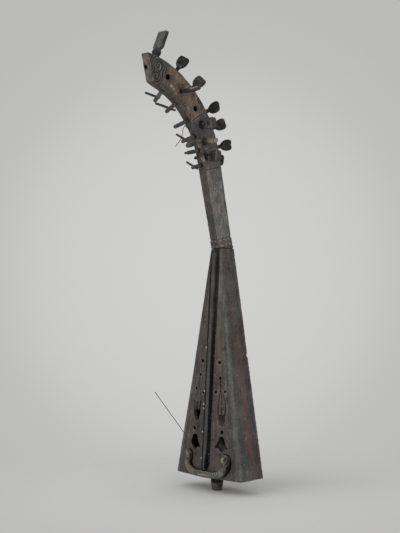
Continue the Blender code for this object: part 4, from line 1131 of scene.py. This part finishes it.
def head_relief(coat, s, n):
    """The head's spirals and the coils around them: the cuts, and the ridges between them."""
    nearest, coils, ridges = np.zeros((3, len(s)))
    drift_s, drift_n = s + 0.0016 * coat.noise(0.011, 76), n + 0.0016 * coat.noise(0.011, 77)
    for centre_s, centre_n, reach, hand in SPIRALS:
        far = np.hypot(drift_s - centre_s, drift_n - centre_n)
        nearest = nearest + np.exp(-far / 0.003)
        turn = np.arctan2(drift_n - centre_n, hand * (drift_s - centre_s)) / (2 * math.pi)
        phase = coil_phase(far / SPIRAL_STEP - turn)
        inside = ramp(reach, reach - 0.0008, far)
        coils = np.maximum(coils, ramp(0.5, 0.92, phase) * inside)
        ridges = np.maximum(ridges, ramp(0.55, 0.15, phase) * inside)
    wrap = -0.003 * np.log(nearest + 1e-9) + 0.0012 * coat.noise(0.01, 75)
    phase = coil_phase(wrap / WRAP_STEP)
    around = ramp(0.0108, 0.0116, wrap) * ramp(0.442, 0.45, s + 0.3 * n)
    coils = np.maximum(coils, ramp(0.45, 0.9, phase) * around)
    return coils, np.maximum(ridges, ramp(0.45, 0.1, phase) * around * 0.75)


def carve_neck(coat):
    """The neck's carving and wear; gives each vertex's place on the neck and what is carved there."""
    x, _, z = coat.points.T
    s, n = neck_places(coat.points)
    near = np.abs(x) > 0.0103
    side = ramp(0.5, 0.85, np.abs(coat.outward[:, 0])) * near
    shell = near | (n < -half_depth(s) + 0.002) | (n > half_depth(s) + NECK_BACK_GROWTH - 0.002)
    collar = ramp(-0.001, 0.002, s) * ramp(0.0275, 0.0225, s) * shell
    raised = np.where(side > 0.5, lumps_at(s, n, LUMPS), lumps_at(s, x, FRONT_LUMPS)) * collar
    seam = groove(np.abs(z - NECK_START[1] - 0.0006), 0.0024) * shell
    soft = straight_relief(coat, s, n, side)
    border = groove(np.abs(s - BORDER_S), 0.0024) * side
    incised = line_distance(s, n, INCISED)
    line = np.maximum(groove(incised, 0.003), groove(line_distance(s, n, TICK), 0.0024)) * side
    coils, ridges = head_relief(coat, s, n)
    notch = ramp(0.319, 0.322, s) * ramp(0.345, 0.342, s) * ramp(0.017, 0.021, n)
    notches = notch * (np.sin(2 * math.pi * s / NOTCH_STEP) > 0.1) * side
    chips = np.zeros(len(s))
    for chip_s, chip_n, radius in CHIPS:
        chips = np.maximum(chips, unit(1 - np.hypot(s - chip_s, (n - chip_n) * 1.3) / radius))
    chips = chips * side * (x > 0)
    mark_s, mark_n, mark_radius = RING_MARK
    mark = groove(np.abs(np.hypot(s - mark_s, n - mark_n) - mark_radius), 0.002) * side
    edge = coat.edges(3, 14) * shell
    rough = unit(coat.noise(0.01, 71) * 0.9 + coat.noise(0.0035, 72) * 0.5)
    cut = COLLAR_DEPTH * collar * (1 - raised) + SEAM_DEPTH * seam + ORNAMENT_DEPTH * soft
    cut += BORDER_DEPTH * border + LINE_DEPTH * line + COIL_DEPTH * coils * side + NOTCH_DEPTH * notches
    cut += CHIP_DEPTH * chips + MARK_DEPTH * mark + EDGE_WEAR * edge * rough
    cut += shell * (0.00016 * (1 + coat.noise(0.016, 73)) + 0.00007 * (1 + coat.noise(0.0035, 74)))
    cut *= (coat.outward[:, 2] > -0.6) | (s > 0.05)
    points = coat.points - coat.outward * cut[:, None]
    rise = points[:, 2] - NECK_START[1]
    points[:, 2] -= 0.0005 * ramp(0.004, 0.001, rise) * (rise > -0.0002)
    place(coat.mesh, points)
    lines = unit(line + coils * side + notches + 0.4 * soft + 0.8 * mark + seam + 0.6 * border)
    worn = ridges * side * unit(0.15 + 0.9 * noise(points, 0.007, 78))
    pale = unit(bell(incised - 0.0024, 0.0011) * side + worn)
    return SimpleNamespace(s=s, n=n, side=side, edge=edge, raised=raised, lines=lines, pale=pale, chips=chips)


def tint_straight(coat, at):
    """The pale, stained straight part, its pale curls and its darker front."""
    s, n, fine, patch, deep = at.s, at.n, at.fine, at.patch, at.deep
    face = at.side * at.straight
    coat.lay((205, 190, 174), face * (0.85 + 0.25 * at.scuff))
    coat.layers(face, ((130, 138, 126), 0, 0.7, at.slow, 0.8), ((150, 118, 98), 0.3, 0.8, patch, 0.75),
                ((85, 80, 74), 0.35, 0.85, at.mottle, 0.5), ((240, 222, 200), 0.4, 0.9, fine, 0.45),
                ((56, 52, 47), 0.4, 0.9, -fine, 0.5), ((105, 99, 92), 0.13, 0.19, s, 0.5),
                ((50, 47, 43), 0.66, 0.92, deep + 0.1 * patch, 0.7))
    coat.lay((138, 144, 132), face * ramp(0.1, 0.055, s) * ramp(0.026, 0.034, s) * 0.55)
    warm = bell(s - 0.138, 0.032) * ramp(-0.4, 0.4, at.mottle) * ramp(0.7, 0.4, deep)
    coat.lay((185, 140, 106), face * warm * 0.5)
    for curl_s, curl_n, radius in CURLS:
        arc = bell(np.hypot(s - curl_s, n - curl_n) - radius, 0.0011) * ramp(0.0015, -0.0015, s - curl_s)
        coat.lay((330, 285, 235), at.side * arc * unit(0.65 + 0.4 * fine))
    front = ramp(0.3, 0.7, -deep) * (1 - at.side) * at.straight
    coat.lay((70, 65, 60), front)
    coat.layers(front, ((86, 68, 60), 0.1, 0.8, at.scuff, 0.8))


def tint_arch(coat, at):
    """The arched part: grey below the incised line, brown above it, dark along its edges and the head."""
    s, n, side, patch, mottle, deep = at.s, at.n, at.side, at.patch, at.mottle, at.deep
    line_s = np.interp(n, [point[1] for point in INCISED], [point[0] for point in INCISED])
    above = ramp(-0.0005, 0.0008, s - line_s) * ramp(0.46, 0.442, s)
    arched = side * (1 - at.straight)
    grey = arched * (1 - above) * ramp(0.46, 0.44, s)
    brown = side * above
    golden = bell(s - 0.405, 0.022) * bell(n - 0.016, 0.009)
    coat.lay((98, 91, 85), grey * 0.9)
    coat.layers(grey, ((105, 88, 74), 0.1, 0.7, patch, 0.5))
    coat.lay((168, 126, 97), brown * (0.9 + 0.2 * patch))
    coat.lay((180, 142, 106), brown * golden * unit(0.6 + 0.5 * mottle))
    coat.layers(brown, ((235, 172, 120), 0.15, 0.7, mottle, 0.5), ((44, 38, 34), 0.1, 0.7, -patch, 0.4),
                ((30, 27, 25), 0.3, 0.8, at.fine, 0.6))
    coat.layers(arched, ((38, 35, 33), -0.52, -0.84, deep + 0.12 * patch, 0.6),
                ((50, 46, 43), 0.72, 0.95, deep + 0.1 * patch, 0.6))
    coat.layers(side, ((106, 92, 79), 0.44, 0.456, s, 0.85))


def tint_holes(coat, at):
    """Painted shadow round the side pegs, and painted shade in and round the empty holes."""
    for name in PEGS:
        if name.startswith("side"):
            peg_s, peg_n = neck_places(np.array([joints[name + "_turn"]["pos_m"]]))
            far = np.hypot(at.s - peg_s, at.n - peg_n + 0.0025) + 0.002 * at.patch
            coat.layers(at.side, ((9, 8, 8), 0.0135, 0.0065, far, 0.3 if name == HIGHLIT_PEG else 0.9))
    for hole_s, hole_n in EMPTY_HOLES:
        coat.layers(at.side, ((22, 12, 9), 0.008, 0.0066, np.hypot(at.s - hole_s, at.n - hole_n), 0.92))


def tint_end(coat, at):
    """The head's pale end, and the arch's under and upper faces; gives the end."""
    deep, mottle, off_side = at.deep, at.mottle, 1 - at.side
    facing = coat.outward @ np.array(neck_frame(NECK_LENGTH)[1])
    end = ramp(0.5, 0.8, facing) * ramp(0.46, 0.468, at.s) * off_side
    coat.lay((180, 148, 126), end)
    coat.layers(end, ((205, 180, 158), 0.1, -0.7, deep, 1), ((70, 60, 52), 0.55, 0.95, deep, 0.7),
                ((85, 64, 52), 0.1, 0.8, at.patch, 0.7), ((62, 52, 45), 0.05, 0.55, -mottle, 0.45),
                ((300, 262, 230), 0.15, 0.65, mottle, 0.4))
    under = ramp(0.4, 0.8, -deep) * off_side * (1 - at.straight) * (1 - end)
    coat.lay((90, 79, 69), under)
    coat.layers(under, ((30, 27, 25), 0, 0.7, at.scuff, 0.6))
    coat.lay((70, 62, 54), ramp(0.4, 0.8, deep) * off_side * (1 - end) * 0.7)
    return end


def tint_relief(coat, at):
    """Worn edges, the collar's lumps, pale ridges, darker cuts and hollows, dirt specks, and chips."""
    s, fine = at.s, at.fine
    coat.lay((190, 170, 145), np.clip(at.edge * (0.12 + 0.6 * fine), 0, 0.55))
    for spot_s, stretch, size in ARRIS_SPOTS:
        spot = bell(np.hypot((s - spot_s) / stretch, at.n + half_depth(s)), size)
        coat.lay((300, 255, 210), spot * (coat.points[:, 0] > 0.002) * unit(0.5 + 0.7 * fine))
    ground = ramp(0.03, 0.024, s) * (1 - at.raised)
    coat.lay((92, 84, 78), ground * 0.75)
    coat.lay((50, 46, 44), ground * (1 - at.side) * 0.7)
    coat.lay((240, 204, 182), np.clip(at.raised * (0.6 + 0.5 * fine), 0, 0.85) * (0.45 + 0.55 * at.side))
    coat.lay((300, 280, 245), at.pale * unit(0.55 + 0.6 * at.scuff))
    hollow = coat.hollows(15) * (1 - 0.6 * ramp(0.033, 0.028, s) * (s > 0.003))
    coat.lay((14, 12, 11), np.clip(hollow * 0.9 + at.lines * 0.85, 0, 0.88))
    coat.lay((430, 395, 350), np.clip(at.chips * 2.2, 0, 0.9))
    coat.lay((18, 16, 15), ramp(0.35, 0.95, fine) * ramp(-0.1, 0.6, at.slow) * 0.5)


def build_neck(material):
    mesh = fine_mesh("neck", NECK_VOXEL, 2)
    at = carve_neck(Coat(mesh))
    coat = Coat(mesh, (60, 53, 48))
    at.slow, at.patch, at.fine = coat.noise(0.05, 81), coat.noise(0.014, 82), coat.noise(0.0035, 83)
    at.scuff, at.mottle = coat.noise((0.006, 0.004, 0.02), 84), coat.noise(0.007, 85)
    at.deep = at.n / (half_depth(at.s) + np.where(at.n < 0, 0, NECK_BACK_GROWTH))
    at.straight = ramp(0.222, 0.186, at.s + 0.008 * at.patch)
    tint_straight(coat, at)
    tint_arch(coat, at)
    tint_holes(coat, at)
    end = tint_end(coat, at)
    tint_relief(coat, at)
    # Painted shade: faces inside the holes through the neck are near-black and unpolished.
    shaded_inside = (np.abs(coat.points[:, 0]) < 0.01) & (np.abs(at.deep) < 0.85) & (at.s > 0.02)
    coat.swap((12, 10, 9), shaded_inside & (end < 0.5))
    coat.paint(np.where(shaded_inside, 0.0, 0.45 + 0.3 * at.slow))
    show("neck", mesh, material)


def build_finial(material):
    """The flat paddle with a turned collar under it."""
    point, forward, back = neck_frame(NECK_LENGTH - FINIAL_SETBACK)
    upward = back * math.cos(FINIAL_LEAN) - forward * math.sin(FINIAL_LEAN)
    rows = [(start + rise, wide, thick) for start, part in FINIAL_ROWS for rise, wide, thick in part]
    heights = np.concatenate([np.linspace(FINIAL_SEAT - FINIAL_TENON, FINIAL_SEAT - 0.0002, 14),
                              np.linspace(FINIAL_SEAT, FINIAL_BASE + 0.006, 60),
                              np.linspace(FINIAL_BASE + 0.0068, FINIAL_TOP, 60)])
    angles = circle(64)
    rings = []
    for z, half_x, half_y in zip(heights, curve_through(rows, 1, heights), curve_through(rows, 2, heights)):
        x, y = rounded(angles, half_x, half_y, 2 + 3.2 * ramp(FINIAL_BASE - 0.002, FINIAL_BASE + 0.005, z))
        rings.append(ring(x, y, z))
    coat = Coat(placed_loft("head_finial", framed(point, upward, Vector((1, 0, 0))), rings), (72, 71, 67))
    above = np.append(np.repeat(heights, len(angles)), [heights[0], heights[-1]])
    shown = ramp(FINIAL_SEAT - 0.001, FINIAL_SEAT + 0.001, above)
    edge = coat.edges(2, 9)
    turned = bell(above - FINIAL_SEAT - 0.0142, 0.0008)
    rough = 0.00016 * (1 + coat.noise(0.006, 91)) + 0.0006 * edge * unit(coat.noise(0.006, 92))
    coat.sink(shown * rough + 0.0005 * turned)
    fine, patch = coat.noise((0.002, 0.002, 0.008), 93), coat.noise(0.011, 94)
    collar = ramp(FINIAL_BASE + 0.002, FINIAL_BASE - 0.004, above)
    # Painted light on the front face, and painted shade on both side faces.
    coat.lay((88, 88, 84), ramp(0.4, 0.8, -coat.outward[:, 1]) * (0.8 + 0.3 * patch))
    coat.layers(1, ((22, 21, 19), 0.45, 0.8, np.abs(coat.outward[:, 0]), 0.92),
                ((40, 38, 35), 0.15, 0.8, -patch, 0.5))
    coat.lay((24, 21, 19), collar * 0.85)
    coat.layers(collar, ((110, 98, 80), 0.2, 0.8, patch, 0.6))
    coat.layers(1 - collar, ((230, 220, 200), 0.5, 0.95, fine, 0.45))
    coat.lay((190, 178, 158), edge * (0.35 + 0.4 * fine))
    coat.lay((18, 16, 14), turned * 0.7)
    coat.paint(0.4 + 0.3 * patch)
    show("head_finial", coat.mesh, material)


# The pegs
def peg_place(name):
    joint = joints[name + "_turn"]
    spin = math.radians(PEGS[name][3])
    axis = Vector(joint["axis"])
    if name.startswith("back"):
        turned = Matrix.Rotation(spin, 4, axis) @ Vector((1, 0, 0))
    else:
        turned = Matrix.Rotation(spin, 4, "X") @ Vector((0, -1, 0))
    return framed(Vector(joint["pos_m"]), axis, turned)


def peg_stations(name):
    """Along a peg's axis: the end of its head, the start of its shaft, its tip, and the head's length."""
    head_reach, tip, length, _ = PEGS[name]
    end = -head_reach - length / 2
    return end, end + length, tip, length


def peg_rings(name):
    end, shaft, tip, length = peg_stations(name)
    rows = [(end + a * length, b * HEAD_WIDTH / 2, c * HEAD_THICKNESS / 2)
            for a, b, c in (FULL_HEAD_ROWS if name in FULL_HEADS else HEAD_ROWS)]
    for z in (shaft, shaft + 0.2 * (tip - shaft), tip - 0.0014, tip):
        radius = SHAFT_TIP_RADIUS + SHAFT_TAPER * (tip - z) - (TIP_EASE if z == tip else 0)
        rows.append((z, radius, radius))
    heights = np.concatenate([end + length * np.linspace(0, 1, 46) ** 1.25, np.linspace(shaft, tip, 60)[1:]])
    head = ramp(shaft, shaft - 0.25 * length, heights)
    notch = DEEP_NOTCH if name == NOTCHED_HEAD else HEAD_NOTCH
    half_x, half_y = curve_through(rows, 1, heights), curve_through(rows, 2, heights)
    rings = []
    for z, wide, thick, share in zip(heights, half_x, half_y, head):
        x, y = rounded(circle(40), wide, thick, 2 + 0.9 * share)
        grown = 0.0006 * ramp(0.03, 0.037, z) + (0.0009 * ramp(0.013, 0.018, z) if name == BARE_PEG else 0)
        x, y = x * (1 + grown / wide), y * (1 + grown / thick)
        y = y * (1 - 0.22 * share * bell(x, 0.45 * wide) * ramp(end, end + 0.006, z))
        rings.append(ring(x, y, z + notch * bell(x, 0.0035) * np.exp(-(z - end) / 0.005) * share))
    return np.array(rings)


def tint_bare_peg(coat, at):
    coat.layers(1, ((430, 380, 290), 0.1, 0.8, at.patch, 0.5),
                ((120, 95, 72), 0, 0.6, coat.noise(0.005, at.seed + 7), 0.75))
    coat.lay((62, 60, 55), at.on_head * 0.9)
    coat.layers(1, ((40, 32, 25), 0.3, 0.9, at.fine, 0.6))
    coat.layers(1 - at.on_head, ((20, 16, 13), at.tip - 0.018, at.tip - 0.03, at.along, 0.8))


def tint_black_peg(coat, at):
    """Mottled flat faces, worn edges, greyed shaft; carved full heads have a ridge with a painted highlight,
    and one head a painted highlight streak.
    """
    patch, along, on_head = at.patch, at.along, at.on_head
    coat.layers(1, ((36, 34, 33), 0.1, 0.8, patch, 0.6))
    coat.lay((98, 94, 85), ramp(0.024, 0.034, along) * (0.8 + 0.3 * patch))
    thin = np.array(peg_place(at.name).to_3x3() @ Vector((0, 1, 0)))
    face = ramp(0.8, 0.97, np.abs(coat.outward @ thin)) * on_head
    grey = np.clip(FACE_GREYS.get(at.name, 24) * (1 + 1.1 * coat.noise(0.0045, at.seed + 6)), 6, 1000)
    coat.lay(np.outer(grey, (1, 0.98, 0.95)), face * 0.9)
    coat.lay((120, 112, 102), at.edge * on_head * unit(0.7 * at.fine - 0.1))
    if at.name in FULL_HEADS:
        worn = on_head * (0.6 + 0.3 * patch)
        coat.layers(worn, ((60, 54, 48), at.end + 0.3 * at.length, at.end + 0.22 * at.length, along, 1))
        # Painted highlight along the carved ridge.
        coat.lay((190, 178, 160), at.crest * worn)
    coat.layers(bell(along - at.shaft + 0.003, 0.0022),
                ((190, 175, 150), 0.1, 0.7, coat.noise(0.005, at.seed + 5), 0.7))
    # A painted highlight streak on the upper side of this peg's head.
    if at.name == HIGHLIT_PEG:
        streak = bell(along - at.end - 0.011, 0.0055)
        coat.layers(streak, ((330, 310, 285), 0.2, 0.8, coat.outward[:, 2], 0.8))
    coat.layers(1, ((70, 63, 56), 0.5, 0.95, at.fine, 0.5))


def build_peg(name, seed, material):
    end, shaft, tip, length = peg_stations(name)
    rings = peg_rings(name)
    bare = name == BARE_PEG
    shade = (290, 250, 195) if bare else np.multiply(PEG_GREYS.get(name, 9), (1, 0.98, 0.97))
    coat = Coat(placed_loft(name, peg_place(name), rings), shade)
    along = np.append(rings[:, :, 2].ravel(), [end, tip])
    on_head = ramp(shaft + 0.001, shaft - 0.003, along)
    crest = bell(along - (end + 0.27 * length), 0.0014)
    waist = bell(along - (end + 0.15 * length), 0.0022)
    turned = bell(along - shaft - 0.0025, 0.0008) + bell(along - shaft - 0.0052, 0.0008)
    tip_ring = bell(along - tip + 0.0065, 0.0009)
    edge = coat.edges(2, 8)
    cut = on_head * (0.0005 * waist - 0.00012 * crest) + 0.00045 * turned + 0.0006 * tip_ring
    cut += 0.00012 * (1 + coat.noise(0.006, seed)) + 0.00007 * (1 + coat.noise(0.0025, seed + 1))
    cut += on_head * 0.0007 * ramp(0.35, 0.9, coat.noise(0.008, seed + 2)) * edge
    coat.sink(cut)
    fine, patch = coat.noise(0.0025, seed + 3), coat.noise(0.01, seed + 4)
    at = SimpleNamespace(name=name, seed=seed, end=end, shaft=shaft, tip=tip, length=length, along=along,
                         on_head=on_head, crest=crest, edge=edge, fine=fine, patch=patch)
    (tint_bare_peg if bare else tint_black_peg)(coat, at)
    coat.lay((7, 6.5, 6.5), unit(turned + tip_ring) * 0.8)
    coat.paint(0.4 + 0.3 * patch if bare else 0.55 + 0.4 * patch)
    show(name, coat.mesh, material, body=name)


def build_stick(number, material):
    """A whittled stick through a peg's tip."""
    setback, turn, long_arm, short_arm = STICKS[number]
    name, node = f"back_peg_{number}", f"peg_stick_{number}"
    axis = Vector(joints[name + "_turn"]["axis"])
    direction = Matrix.Rotation(math.radians(turn), 4, axis) @ Vector((1, 0, 0))
    centre = Vector(joints[name + "_turn"]["pos_m"]) + axis * (PEGS[name][1] - setback)
    angles = circle(16)
    rings = []
    for z in np.linspace(-short_arm, long_arm, 46):
        reach = long_arm if z > 0 else short_arm
        way = min(max(abs(z) - STICK_STRAIGHT, 0) / (reach - STICK_STRAIGHT), 1)
        radius = STICK_SWELL + STICK_RADIUS + (STICK_END_RADIUS - STICK_RADIUS) * way
        radius *= math.sqrt(min(1, 0.35 + min(z + short_arm, long_arm - z) / 0.0014))
        bend = 0.0004 * math.sin(z * 110 + number)
        uneven = radius * (0.94 + 0.06 * np.sin(2 * angles + 40 * z + number))
        rings.append(ring(uneven * np.cos(angles) + bend, uneven * np.sin(angles), z))
    coat = Coat(placed_loft(node, framed(centre, direction, axis), rings), (42, 38, 34))
    fine, patch = coat.noise(0.002, 130 + number), coat.noise(0.008, 140 + number)
    coat.layers(1, ((95, 83, 68), 0.1, 0.8, patch, 0.7), ((30, 26, 22), 0.25, 0.9, fine, 0.6))
    coat.paint(0.3 + 0.2 * patch)
    show(node, coat.mesh, material, body=name)


# All of it
build_camera()
build_strings()
build_world()
build_lamps()
build_floor()

body_wood = wood("body_wood", (0.005, 0.005, 0.06), 0.3, 0.35, (0.46, 0.66), 0.35)
rib_wood = wood("rib_wood", (0.003, 0.003, 0.05), 0.3, 0.2, (0.36, 0.55), 0.3, 0.45)
neck_wood = wood("neck_wood", (0.006, 0.005, 0.03), 0.3, 0.45, (0.46, 0.68), 0.4)
peg_wood = wood("peg_wood", (0.006, 0.006, 0.006), 0.35, 0.25, (0.42, 0.6), 0.3, 0.28)
bare_wood = wood("bare_wood", (0.003, 0.003, 0.003), 0.25, 0.3, (0.5, 0.7), 0.35)
scroll_wood = wood("scroll_wood", (0.005, 0.005, 0.005), 0.25, 0.3, (0.4, 0.6), 0.35)
pin_bone = wood("pin_bone", (0.002, 0.002, 0.002), 0.2, 0.2, (0.4, 0.6), 0.25)

build_soundbox(body_wood)
build_back_board(body_wood)
build_dowels(bare_wood)
build_string_rib(rib_wood)
build_string_pins(pin_bone)
build_tail_scroll(scroll_wood)
build_end_button(scroll_wood)
build_neck(neck_wood)
build_finial(neck_wood)
for index, peg_name in enumerate(PEGS):
    if peg_name == BARE_PEG:
        build_peg(peg_name, 150 + 10 * index, bare_wood)
    else:
        build_peg(peg_name, 150 + 10 * index, peg_wood)
for stick_number in STICKS:
    build_stick(stick_number, bare_wood)

scene.view_settings.view_transform = "Standard"
